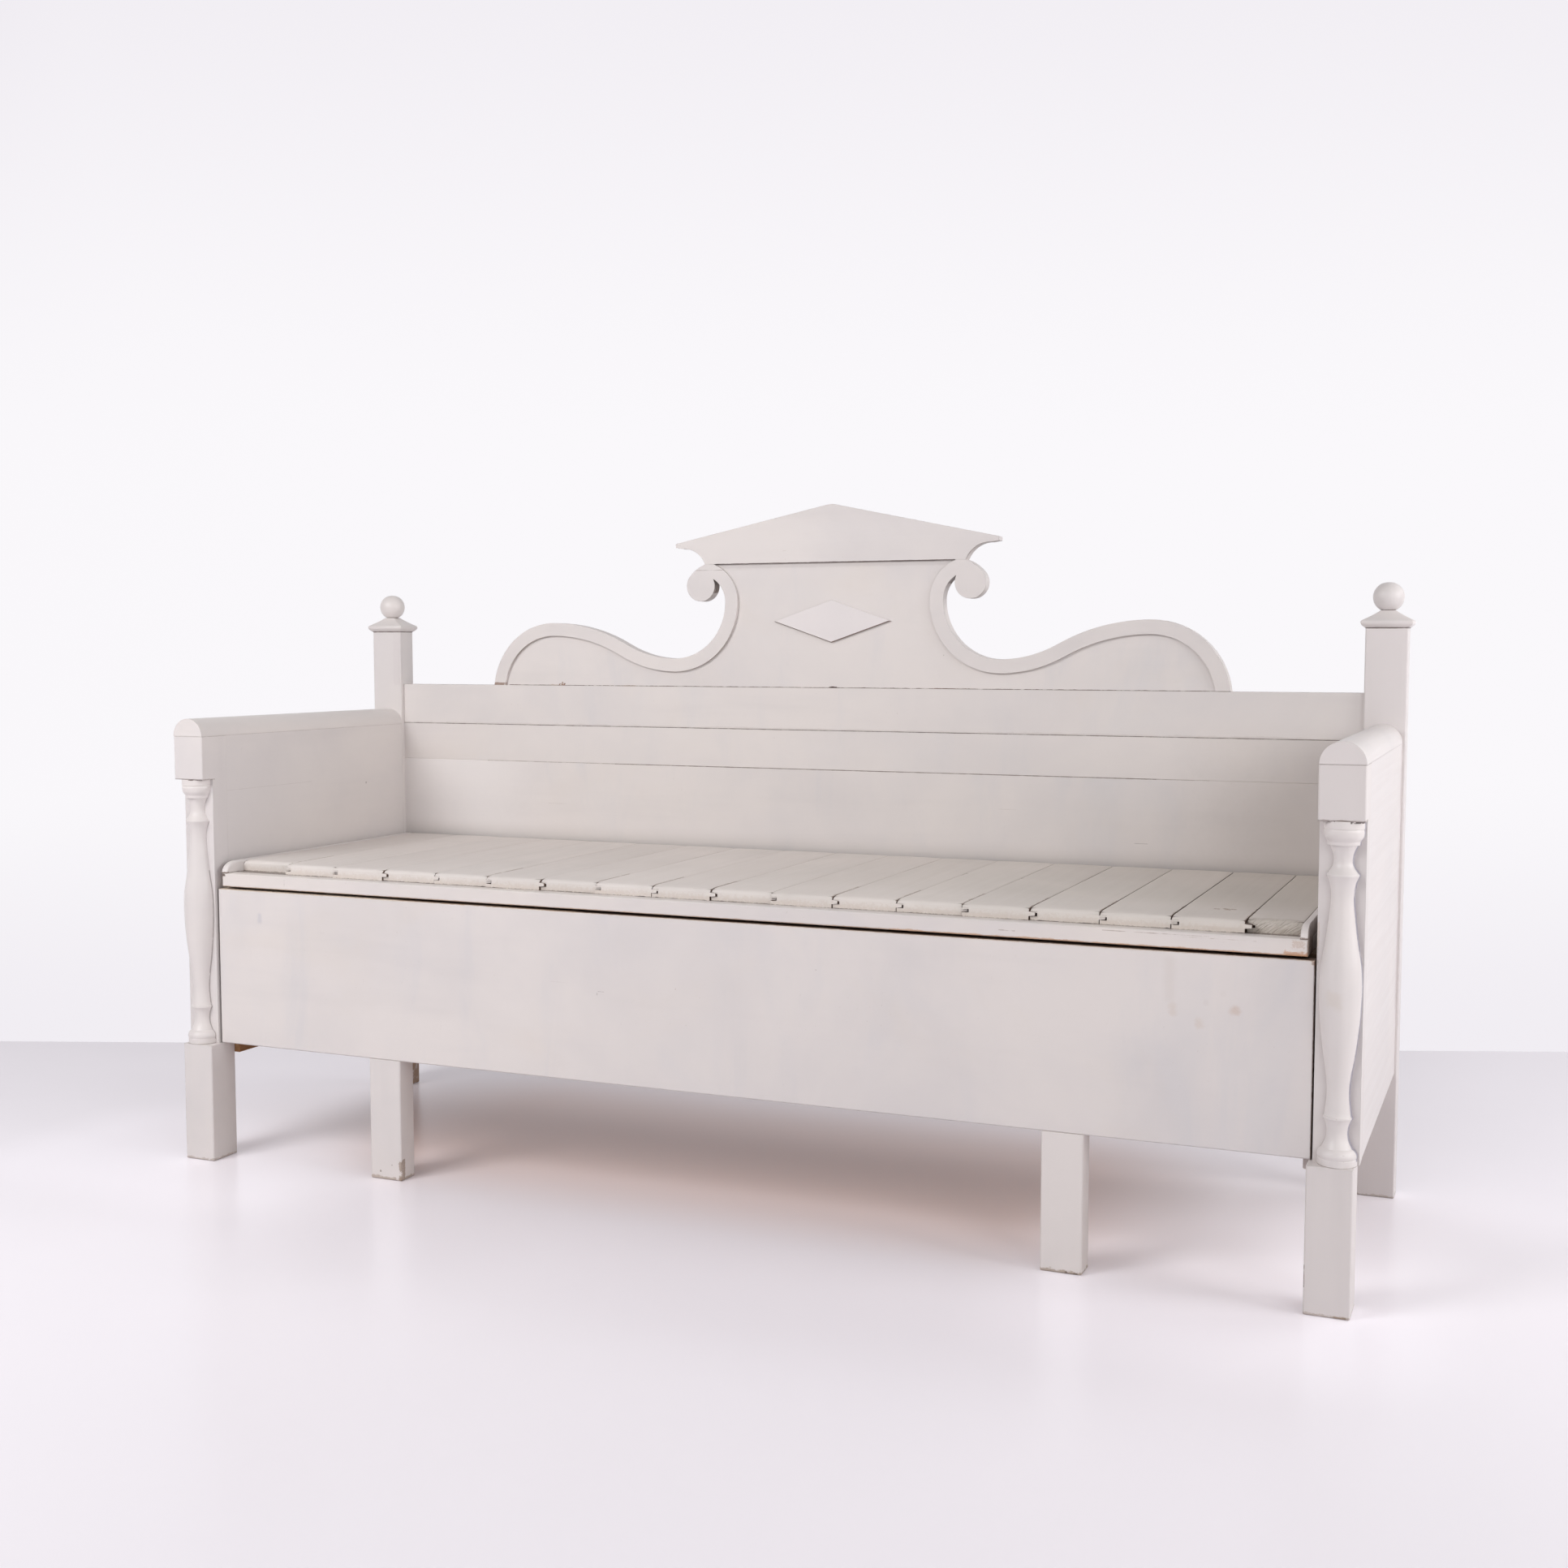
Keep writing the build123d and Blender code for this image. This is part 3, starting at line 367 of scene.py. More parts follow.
    def relief(self, height: Socket, distance: float, below: Socket | None = None, strength: float = 1.0) -> Socket:
        """Bump from a height.

        Args:
            height: The height, from nought to one.
            distance: Depth of the relief in metres.
            below: Earlier bump that this one lies on, if there is one.
            strength: Share of the bump that shows.

        Returns:
            The normal's socket.
        """
        node = self.add("ShaderNodeBump")
        node.inputs["Strength"].default_value = strength
        node.inputs["Distance"].default_value = distance
        self.link(height, node.inputs["Height"])
        if below is not None:
            self.link(below, node.inputs["Normal"])
        return node.outputs["Normal"]


@dataclass(frozen=True)
class OilPaint:
    """Old satin oil paint, brushed on wood whose grain and joints show through.

    Attributes:
        name: Name of the material.
        grain: Direction of the fibres and strokes.
        colour: Paint's colour, 0-255.
        shade: Colour of its greyer clouds.
        gloss: Middle roughness.
        relief: Height of the grain under the paint.
        shift: Offset of the patterns.
        dirt: Share of fine specks.
        smudge: Share of broad smudges.
        under: Share of painted shade on faces that look down.
        arris: Radius of the rounded edges, or nought.
        worn: Share of wood that shows on the edges.
        sawn: Front end of a board left as sawn, or None.
        joints: Colours of the bare joint faces, left and right.
        middle: Where the left one gives way to the right one.
        underside: Heights between which the bare underside ends.
        top: Heights between which the painted top starts.
        patches: Worn, stained or dirty places.
    """

    name: str
    grain: Grain = Grain.ACROSS
    colour: Colour = (223, 216, 213)
    shade: Colour = (214, 208, 207)
    gloss: float = 0.44
    relief: float = 0.00022
    shift: Triple = (0.0, 0.0, 0.0)
    dirt: float = 0.35
    smudge: float = 0.0
    under: float = 0.0
    arris: float = 0.0013
    worn: float = 0.45
    sawn: float | None = None
    joints: tuple[Colour, ...] = ()
    middle: float = 0.0
    underside: Pair = (0.4772, 0.4776)
    top: Pair = (0.4925, 0.493)
    patches: tuple[Patch, ...] = ()

    def coat(self, shader: Shader, plain: Socket) -> Socket:
        """Lay on the paint with clouds and shades, then fine specks and, where asked for, smudges and stains.

        Args:
            shader: The tree.
            plain: The piece's coordinates.

        Returns:
            Colour of the paint.
        """
        cloud = shader.noise(plain, 2.6, 4.0, 0.6, 0.4)
        colour = shader.blend(shader.remap(cloud, 0.35, 0.72), srgb(*self.colour), srgb(*self.shade))
        broad = shader.noise(shader.stretched(self.grain.scale(14.0, 1.6), self.shift), 1.0, 3.0, 0.6)
        deeper = srgb(*(channel - 12 for channel in self.shade))
        colour = shader.blend(shader.remap(broad, 0.5, 0.85, 0.0, 0.35), colour, deeper)
        speck = shader.noise(plain, 260.0, 2.0, 0.5)
        film = shader.noise(plain, 7.0, 3.0, 0.6)
        dirt = shader.times(shader.remap(speck, 0.7, 0.8), shader.remap(film, 0.45, 0.75, 0.0, self.dirt))
        colour = shader.blend(dirt, colour, Tone.SPECK.linear)
        if self.smudge:
            smear = shader.noise(shader.stretched((9.0, 9.0, 2.6), self.shift), 1.0, 4.0, 0.62, 0.6)
            colour = shader.blend(shader.remap(smear, 0.48, 0.78, 0.0, self.smudge), colour, Tone.SMEAR.linear)
            stain = shader.noise(shader.stretched((3.0, 3.0, 4.0), self.shift), 1.0, 4.0, 0.6, 0.6)
            colour = shader.blend(shader.remap(stain, 0.52, 0.8, 0.0, self.smudge), colour, Tone.STAIN.linear)
        return colour

    def wear_edges(self, shader: Shader, colour: Socket, eased: Socket, ragged: Socket) -> Socket:
        """Thin the paint on the edges, down to the wood in specks, and lighten them, partly as paint worn pale and
        partly as painted highlight.

        Args:
            shader: The tree.
            colour: Colour of the paint.
            eased: Normal over the edges.
            ragged: Noise that breaks up the wear.

        Returns:
            Colour with worn edges.
        """
        flat = shader.add("ShaderNodeNewGeometry").outputs["True Normal"]
        turn = shader.add("ShaderNodeVectorMath")
        turn.operation = "DOT_PRODUCT"
        shader.link(eased, turn.inputs[0])
        shader.link(flat, turn.inputs[1])
        edge = shader.remap(turn.outputs["Value"], 0.84, 0.985, 1.0, 0.0)
        place = shader.noise(shader.place, 16.0, 3.0, 0.6)
        bare = shader.times(shader.remap(ragged, 0.5, 0.66, 0.0, self.worn), shader.remap(place, 0.46, 0.66))
        colour = shader.blend(shader.times(edge, bare), colour, Tone.BARE_EDGE.linear)
        # Lighter edges: partly paint worn pale, partly painted highlight.
        highlight_and_rub = shader.times(edge, shader.remap(place, 0.3, 0.6, 0.22, 0.0))
        return shader.blend(highlight_and_rub, colour, Tone.RUBBED_EDGE.linear)

    def near_front(self, shader: Shader) -> Socket:
        """Mask of the sawn front end, dying out behind it."""
        return shader.remap(shader.split(shader.place)[1], self.sawn + 0.006, self.sawn + 0.015, 1.0, 0.0)

    def saw_marks(self, shader: Shader) -> Socket:
        """Slanting ridges that a coarse saw left on the front end.

        Args:
            shader: The tree.

        Returns:
            Height of the ridges.
        """
        turned = shader.add("ShaderNodeMapping")
        turned.inputs["Rotation"].default_value = (0.0, math.radians(38.0), 0.0)
        shader.link(shader.place, turned.inputs["Vector"])
        drawn = shader.add("ShaderNodeMapping")
        drawn.inputs["Scale"].default_value = (60.0, 60.0, 470.0)
        shader.link(turned.outputs["Vector"], drawn.inputs["Vector"])
        ridges = shader.noise(drawn.outputs["Vector"], 1.0, 2.0, 0.5, 0.3)
        return shader.times(shader.remap(ridges, 0.3, 0.7), self.near_front(shader))

    def leave_joints(self, shader: Shader, colour: Socket) -> Socket:
        """Leave a seat board unpainted in its joints, which are dark, and below, where it is aged pine.

        Args:
            shader: The tree.
            colour: Colour of the paint.

        Returns:
            Colour with bare joints and underside.
        """
        way = shader.split(shader.facing)
        spot = shader.split(shader.place)
        top = shader.times(shader.remap(way[2], 0.2, 0.4), shader.remap(spot[2], *self.top))
        front = shader.remap(shader.times(way[1], -1.0), 0.3, 0.5)
        painted = shader.sum("MAXIMUM", top, front)
        side = shader.remap(spot[0], self.middle - 0.001, self.middle + 0.001)
        joint = shader.blend(side, srgb(*self.joints[0]), srgb(*self.joints[-1]))
        low = shader.remap(spot[2], *self.underside, 1.0, 0.0)
        below = shader.times(shader.remap(way[2], -0.6, -0.4, 1.0, 0.0), low)
        fibre = shader.noise(shader.stretched((60.0, 5.0, 60.0), self.shift), 1.0, 4.0, 0.6)
        pine = shader.blend(shader.remap(fibre, 0.35, 0.7), Tone.AGED_PINE.linear, Tone.AGED_PINE_FIBRE.linear)
        return shader.blend(painted, shader.blend(below, joint, pine), colour)

    def roughen(self, shader: Shader, plain: Socket, eased: Socket | None) -> None:
        """Raise the brush strokes and the grain under them, and vary the gloss.

        Args:
            shader: The tree.
            plain: The piece's coordinates.
            eased: Normal over the edges, if they are eased.
        """
        strokes = shader.noise(shader.stretched(self.grain.scale(420.0, 9.0), self.shift), 1.0, 3.0, 0.55)
        fibres = shader.noise(shader.stretched(self.grain.scale(90.0, 2.2), self.shift), 1.0, 4.0, 0.6, 0.5)
        orange = shader.noise(plain, 38.0, 2.0, 0.5)
        bump = shader.relief(orange, self.relief * 4.5, eased, 0.3)
        bump = shader.relief(fibres, self.relief * 1.6, bump, 0.35)
        if self.sawn is not None:
            bump = shader.relief(self.saw_marks(shader), 0.0012, bump, 0.6)
        bump = shader.relief(strokes, self.relief * 0.6, bump, 0.22)
        shader.link(bump, shader.surface.inputs["Normal"])
        rough = shader.remap(fibres, 0.25, 0.8, self.gloss - 0.06, self.gloss + 0.1)
        shader.link(rough, shader.surface.inputs["Roughness"])
        shader.surface.inputs["Specular IOR Level"].default_value = 0.45

    def material(self) -> bpy.types.Material:
        """Build the paint's material.

        Returns:
            The finished material.
        """
        shader = Shader(self.name)
        plain = shader.stretched(EVEN, self.shift)
        ragged = shader.noise(plain, COMMON_RAG, 4.0, 0.7)
        colour = self.coat(shader, plain)
        for patch in self.patches:
            edge = ragged if patch.scale == COMMON_RAG else shader.noise(shader.place, patch.scale, 4.0, 0.7)
            colour = shader.blend(shader.inside(patch, edge), colour, srgb(*patch.colour))
        eased = None
        if self.arris:
            bevel = shader.add("ShaderNodeBevel")
            bevel.inputs["Radius"].default_value = self.arris
            eased = bevel.outputs["Normal"]
            colour = self.wear_edges(shader, colour, eased, ragged)
        # Painted shade: faces that look down are darkened, as shade under edges and mouldings.
        if self.under:
            down = shader.times(shader.split(shader.facing)[2], -1.0)
            colour = shader.blend(shader.remap(down, 0.15, 0.75, 0.0, self.under), colour, Tone.GRIME.linear)
        if self.sawn is not None:
            hollows = shader.remap(self.saw_marks(shader), 0.22, 0.02, 0.0, 0.34)
            colour = shader.blend(shader.times(hollows, self.near_front(shader)), colour, Tone.SAW_HOLLOW.linear)
        if self.joints:
            colour = self.leave_joints(shader, colour)
        shader.link(colour, shader.surface.inputs["Base Color"])
        self.roughen(shader, plain, eased)
        return shader.material


@dataclass(frozen=True)
class BarePine:
    """Unpainted old pine with yearly rings along the board, washed pale past a place across the bench, if given."""

    name: str
    grain: Grain = Grain.ACROSS
    light: Colour = (190, 150, 106)
    dark: Colour = (142, 98, 60)
    washed: float | None = None

    def material(self) -> bpy.types.Material:
        """Build the bare wood's material.

        Returns:
            The finished material.
        """
        shader = Shader(self.name)
        rings = shader.noise(shader.stretched(self.grain.scale(22.0, 1.3)), 1.0, 5.0, 0.62, 0.8)
        colour = shader.blend(shader.remap(rings, 0.38, 0.66), srgb(*self.light), srgb(*self.dark))
        fine = shader.noise(shader.stretched(self.grain.scale(520.0, 6.0)), 1.0, 2.0)
        colour = shader.blend(shader.remap(fine, 0.5, 0.8, 0.0, 0.4), colour, Tone.PINE_LINE.linear)
        age = shader.noise(shader.stretched(EVEN), 3.5, 4.0, 0.6)
        colour = shader.blend(shader.remap(age, 0.45, 0.8, 0.0, 0.45), colour, Tone.PINE_GREY.linear)
        if self.washed is not None:
            across = shader.split(shader.place)[0]
            side = shader.remap(across, self.washed - 0.001, self.washed + 0.001, 0.0, 0.9)
            colour = shader.blend(side, colour, Tone.WASH.linear)
        shader.link(colour, shader.surface.inputs["Base Color"])
        bump = shader.relief(rings, 0.0006, None, 0.4)
        bump = shader.relief(fine, 0.0003, bump, 0.5)
        shader.link(bump, shader.surface.inputs["Normal"])
        shader.link(shader.remap(fine, 0.2, 0.8, 0.62, 0.82), shader.surface.inputs["Roughness"])
        return shader.material


@dataclass(frozen=True)
class Iron:
    """Old iron, brown in its pits."""

    name: str = "pivot_iron"

    def material(self) -> bpy.types.Material:
        """Build the iron's material.

        Returns:
            The finished material.
        """
        shader = Shader(self.name)
        pits = shader.noise(shader.stretched(EVEN), 320.0, 4.0, 0.65)
        colour = shader.blend(shader.remap(pits, 0.45, 0.65), Tone.IRON.linear, Tone.RUST.linear)
        shader.link(colour, shader.surface.inputs["Base Color"])
        shader.surface.inputs["Metallic"].default_value = 0.8
        shader.link(shader.remap(pits, 0.35, 0.7, 0.38, 0.75), shader.surface.inputs["Roughness"])
        shader.link(shader.relief(pits, 0.0002, None, 0.6), shader.surface.inputs["Normal"])
        return shader.material


class Hand:
    """The few bench moves that the new pieces share."""

    @staticmethod
    def clear_selection() -> None:
        """Leave edit mode and select nothing."""
        if bpy.context.mode != "OBJECT":
            bpy.ops.object.mode_set(mode="OBJECT")
        bpy.ops.object.select_all(action="DESELECT")

    @staticmethod
    def choose(piece: Piece) -> None:
        """Select one piece alone and make it active.

        Args:
            piece: The piece.
        """
        Hand.clear_selection()
        piece.select_set(True)
        bpy.context.view_layer.objects.active = piece

    @staticmethod
    def rename(name: str) -> Piece:
        """Name the piece just added, and its mesh."""
        bpy.context.active_object.name = bpy.context.active_object.data.name = name
        return bpy.context.active_object

    @staticmethod
    def settle(piece: Piece) -> Piece:
        """Put the piece's place, turn and scale into its mesh.

        Args:
            piece: The piece.

        Returns:
            The same piece.
        """
        Hand.choose(piece)
        bpy.ops.object.transform_apply(location=True, rotation=True, scale=True)
        return piece

    @staticmethod
    def close(piece: Piece) -> Piece:
        """Turn all faces outwards, leave edit mode and settle the piece.

        Args:
            piece: The piece, in edit mode.

        Returns:
            The same piece.
        """
        bpy.ops.mesh.select_all(action="SELECT")
        bpy.ops.mesh.normals_make_consistent(inside=False)
        bpy.ops.object.mode_set(mode="OBJECT")
        return Hand.settle(piece)

    @staticmethod
    def pick_edges(piece: Piece, test: Callable[[Vector, Vector], bool]) -> None:
        """Select the edges whose two ends pass a test.

        Args:
            piece: The piece, in edit mode.
            test: Test of the two ends.
        """
        bpy.ops.mesh.select_mode(type="EDGE")
        bpy.ops.mesh.select_all(action="DESELECT")
        for edge in bmesh.from_edit_mesh(piece.data).edges:
            edge.select = test(edge.verts[0].co, edge.verts[1].co)
        bmesh.update_edit_mesh(piece.data)

    @staticmethod
    def pick_faces(piece: Piece, test: Callable[[Vector], bool]) -> None:
        """Select the faces whose middle passes a test.

        Args:
            piece: The piece, in edit mode.
            test: Test of the middle.
        """
        bpy.ops.mesh.select_mode(type="FACE")
        bpy.ops.mesh.select_all(action="DESELECT")
        for face in bmesh.from_edit_mesh(piece.data).faces:
            face.select = test(face.calc_center_median())
        bmesh.update_edit_mesh(piece.data)

    @staticmethod
    def draw_out(step: Triple) -> None:
        """Extrude what is selected by a step."""
        bpy.ops.mesh.extrude_region_move(TRANSFORM_OT_translate={"value": step})

    @staticmethod
    def smooth(piece: Piece, degrees: float) -> None:
        """Shade smooth across edges gentler than an angle."""
        Hand.choose(piece)
        bpy.ops.object.shade_smooth_by_angle(angle=math.radians(degrees))

    @staticmethod
    def join(pieces: Sequence[Piece], name: str) -> Piece:
        """Join pieces into one mesh.

        Args:
            pieces: What is joined.
            name: Name of the result.

        Returns:
            The joined piece.
        """
        Hand.clear_selection()
        for piece in pieces:
            piece.select_set(True)
        bpy.context.view_layer.objects.active = pieces[0]
        bpy.ops.object.join()
        return Hand.rename(name)

    @staticmethod
    def dress(piece: Piece, material: bpy.types.Material) -> None:
        """Give a piece one material in all its slots.

        Args:
            piece: The piece.
            material: The material.
        """
        if piece.data.materials:
            for index in range(len(piece.data.materials)):
                piece.data.materials[index] = material
        else:
            piece.data.materials.append(material)


@dataclass
class Turning:
    """A piece turned on a lathe, raised through rings of height and radius from the foot up."""

    name: str
    axis: Pair
    rings: Sequence[Pair]
    sides: int

    def make(self) -> Piece:
        """Raise the turning from a disc at its foot.

        Returns:
            The turned piece.
        """
        Hand.clear_selection()
        height, radius = self.rings[0]
        bpy.ops.mesh.primitive_circle_add(vertices=self.sides, radius=radius, fill_type="NGON",
                                          location=(*self.axis, height))
        piece = Hand.rename(self.name)
        bpy.ops.object.mode_set(mode="EDIT")
        bpy.ops.mesh.select_all(action="SELECT")
        for level, ring in self.rings[1:]:
            Hand.draw_out((0.0, 0.0, level - height))
            share = ring / radius
            bpy.ops.transform.resize(value=(share, share, 1.0), center_override=(*self.axis, level))
            height, radius = level, ring
        return Hand.close(piece)


def smooth_profile(marks: Sequence[Pair], steps: int) -> list[Pair]:
    """Draw a fair curve through marks of height and radius.

    Args:
        marks: Height and radius that the curve passes through.
        steps: Points on each stretch between two marks.

    Returns:
        Points along the curve.
    """
    points: list[Pair] = []
    for index in range(len(marks) - 1):
        before = marks[max(index - 1, 0)]
        start, end = marks[index], marks[index + 1]
        after = marks[min(index + 2, len(marks) - 1)]
        run = end[0] - start[0]
        rise_start = (end[1] - before[1]) / (end[0] - before[0]) * run
        rise_end = (after[1] - start[1]) / (after[0] - start[0]) * run
        for step in range(steps):
            t = step / steps
            radius = ((2 * t**3 - 3 * t**2 + 1) * start[1] + (t**3 - 2 * t**2 + t) * rise_start
                      + (3 * t**2 - 2 * t**3) * end[1] + (t**3 - t**2) * rise_end)
            points.append((start[0] + run * t, radius))
    points.append(marks[-1])
    return points


@dataclass
class TurnedWork:
    """Half columns on the front posts, and balls on the rear posts that are a little flat and full."""

    foot: float = 0.193
    base: float = 0.0245
    belly: float = 0.0265
    ball: float = 0.023
    crown: float = 0.0427
    ball_seat: float = 0.0095
    fullness: float = 0.93
    ball_rings: int = 30
    crease: float = 34.0

    def paint(self, name: str, patches: tuple[Patch, ...]) -> OilPaint:
        """Glossier paint of the turned pieces, with dirty places."""
        return OilPaint(name, Grain.UPRIGHT, colour=(224, 217, 214), gloss=0.36, relief=0.0001, arris=0.0,
                        patches=patches)

    def grime_and_painted_light(self, stile_front: float) -> tuple[Patch, ...]:
        """Dirt where the columns meet the stiles, painted shadow on the right stile beside the right column, and
        painted shade in the gaps under the blocks.

        Args:
            stile_front: Plane of the stiles' front faces.

        Returns:
            The dirty places.
        """
        near, far = stile_front - 0.0016, stile_front + 0.001
        seam = Face(near, far)
        capital = Face(stile_front - 0.04, far)
        return (
            # Painted shadow: bluish dark along the right column's right side and on the stile beside it.
            Face(near - 0.004, far).mark((0.9042, 0.2), (1.0, 0.63), (134, 130, 146), 0.0014, 0.001, 0.8, 40.0),
            seam.mark((0.86, 0.2), (0.904, 0.63), (150, 134, 124), 0.0008, 0.001, 0.66, 40.0),
            seam.mark((-0.9042, 0.2), (-0.87, 0.48), (140, 130, 128), 0.0007, 0.0009, 0.6, 40.0),
            Face(near - 0.03, far).mark((0.896, 0.402), (0.904, 0.412), (206, 192, 174), 0.01, 0.004, 0.22, 60.0),
            # Painted shade in the gaps between the capitals and the blocks above them.
            capital.mark((0.9155, 0.629), (0.93, 0.6316), (70, 56, 50), 0.0008, 0.001, 0.9, 160.0),
            capital.mark((0.884, 0.6302), (0.896, 0.6316), (96, 80, 72), 0.0006, 0.0009, 0.8, 160.0),
            capital.mark((-0.904, 0.63), (-0.885, 0.6316), (88, 72, 66), 0.0007, 0.0007, 0.85, 160.0),
            Face(near - 0.004, far).mark((-0.8905, 0.58), (-0.886, 0.5825), (110, 96, 90), 0.0006, 0.0008, 0.8, 160.0),
            Face(near - 0.003, far).mark((0.887, 0.564), (0.8895, 0.5665), (110, 96, 92), 0.0006, 0.0008, 0.8, 160.0),
            capital.mark((-1.0, 0.1925), (1.0, 0.1936), (140, 126, 120), 0.0005, 0.0004, 0.7, 60.0),
        )

    def column_rings(self) -> list[Pair]:
        """Draw the column's profile: plinth, hollow, vase, neck and capital, with beads between them.

        Returns:
            Height and radius of each ring, from the foot up.
        """
        base, belly = self.base, self.belly
        plinth = [(0.0, base), (0.0085, base), (0.009, base - 0.0004)]
        plinth += smooth_profile([(0.0093, base - 0.0002), (0.0125, base + 0.0006), (0.0165, base - 0.0002),
                                  (0.0198, base - 0.0022), (0.022, base - 0.005)], 4)
        hollow = smooth_profile([(0.0222, base - 0.0051), (0.033, base - 0.0096), (0.043, base - 0.0108),
                                 (0.053, base - 0.0092), (0.0592, base - 0.0066), (0.0598, base - 0.006)], 4)
        low_bead = [(0.0616, base - 0.0058), (0.0628, base - 0.0061), (0.0634, base - 0.007)]
        vase = smooth_profile([(0.0638, base - 0.0072), (0.088, base - 0.0098), (0.109, belly - 0.011),
                               (0.151, belly - 0.005), (0.19, belly - 0.0012), (0.22, belly),
                               (0.236, belly - 0.0001), (0.254, belly - 0.0012), (0.284, belly - 0.0059),
                               (0.324, belly - 0.0106), (0.344, belly - 0.0118), (0.359, belly - 0.0097),
                               (0.3675, belly - 0.0064)], 5)
        high_bead = [(0.3684, belly - 0.0058), (0.3697, belly - 0.0057), (0.3708, belly - 0.0062)]
        neck = smooth_profile([(0.3712, belly - 0.0066), (0.38, base - 0.0105), (0.388, base - 0.0119),
                               (0.398, base - 0.0104), (0.407, base - 0.0067)], 4)
        capital = [(0.4074, base - 0.0042), (0.4116, base - 0.004), (0.4124, base - 0.0036)]
        capital += smooth_profile([(0.4128, base - 0.0032), (0.418, base - 0.0002), (0.424, base + 0.0006),
                                   (0.4275, base)], 3)
        capital += [(0.4282, base + 0.0009), (0.438, base + 0.0009)]
        marks = plinth + hollow + low_bead + vase + high_bead + neck + capital
        return [(self.foot + height, radius) for height, radius in marks]

    def columns(self) -> Piece:
        """Turn both columns and saw them in half against the stiles.

        Returns:
            The two half columns in one mesh.
        """
        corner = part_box("half_columns")[1]
        middle, stile_front = corner[0] - self.base - 0.0004, corner[1]
        halves = []
        for side, name in ((-1.0, "column_left"), (1.0, "column_right")):
            whole = Turning(name, (side * middle, stile_front), self.column_rings(), 64).make()
            Hand.choose(whole)
            bpy.ops.object.mode_set(mode="EDIT")
            bpy.ops.mesh.select_all(action="SELECT")
            bpy.ops.mesh.bisect(plane_co=(0.0, stile_front, 0.0), plane_no=(0.0, 1.0, 0.0), use_fill=True,
                                clear_outer=True)
            halves.append(Hand.close(whole))
        piece = Hand.join(halves, "turned_half_columns")
        Hand.smooth(piece, self.crease)
        Hand.dress(piece, self.paint("paint_columns", self.grime_and_painted_light(stile_front)).material())
        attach(piece, "frame")
        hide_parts("half_columns")
        return piece

    def balls(self) -> Piece:
        """Turn both balls, a little flat and with a flat foot.

        Returns:
            The two balls in one mesh.
        """
        low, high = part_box("ball_finials")
        centre_x, centre_y = high[0] - self.ball, (low[1] + high[1]) / 2
        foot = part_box("post_cap_right")[1][2]
        start = math.asin((self.ball_seat / self.ball) ** (1 / self.fullness))
        half = self.crown / (1.0 + math.cos(start))
        rings = []
        for step in range(self.ball_rings):
            angle = start + (math.pi - start - 0.03) * step / (self.ball_rings - 1)
            height = foot + half * (math.cos(start) - math.cos(angle))
            rings.append((height, self.ball * math.sin(angle) ** self.fullness))
        balls = [Turning(name, (side * centre_x, centre_y), rings, 48).make()
                 for side, name in ((-1.0, "ball_left"), (1.0, "ball_right"))]
        piece = Hand.join(balls, "turned_balls")
        Hand.smooth(piece, self.crease)
        seat = Patch((-1.0, low[1] - 0.01, foot - 0.001), (1.0, high[1] + 0.01, foot + 0.0006), (120, 106, 98),
                     0.0008, 0.0006, 0.8)
        Hand.dress(piece, self.paint("paint_balls", (seat,)).material())
        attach(piece, "frame")
        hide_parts("ball_finials")
        return piece

    def build(self) -> list[Piece]:
        """Make the columns and the balls."""
        return [self.columns(), self.balls()]


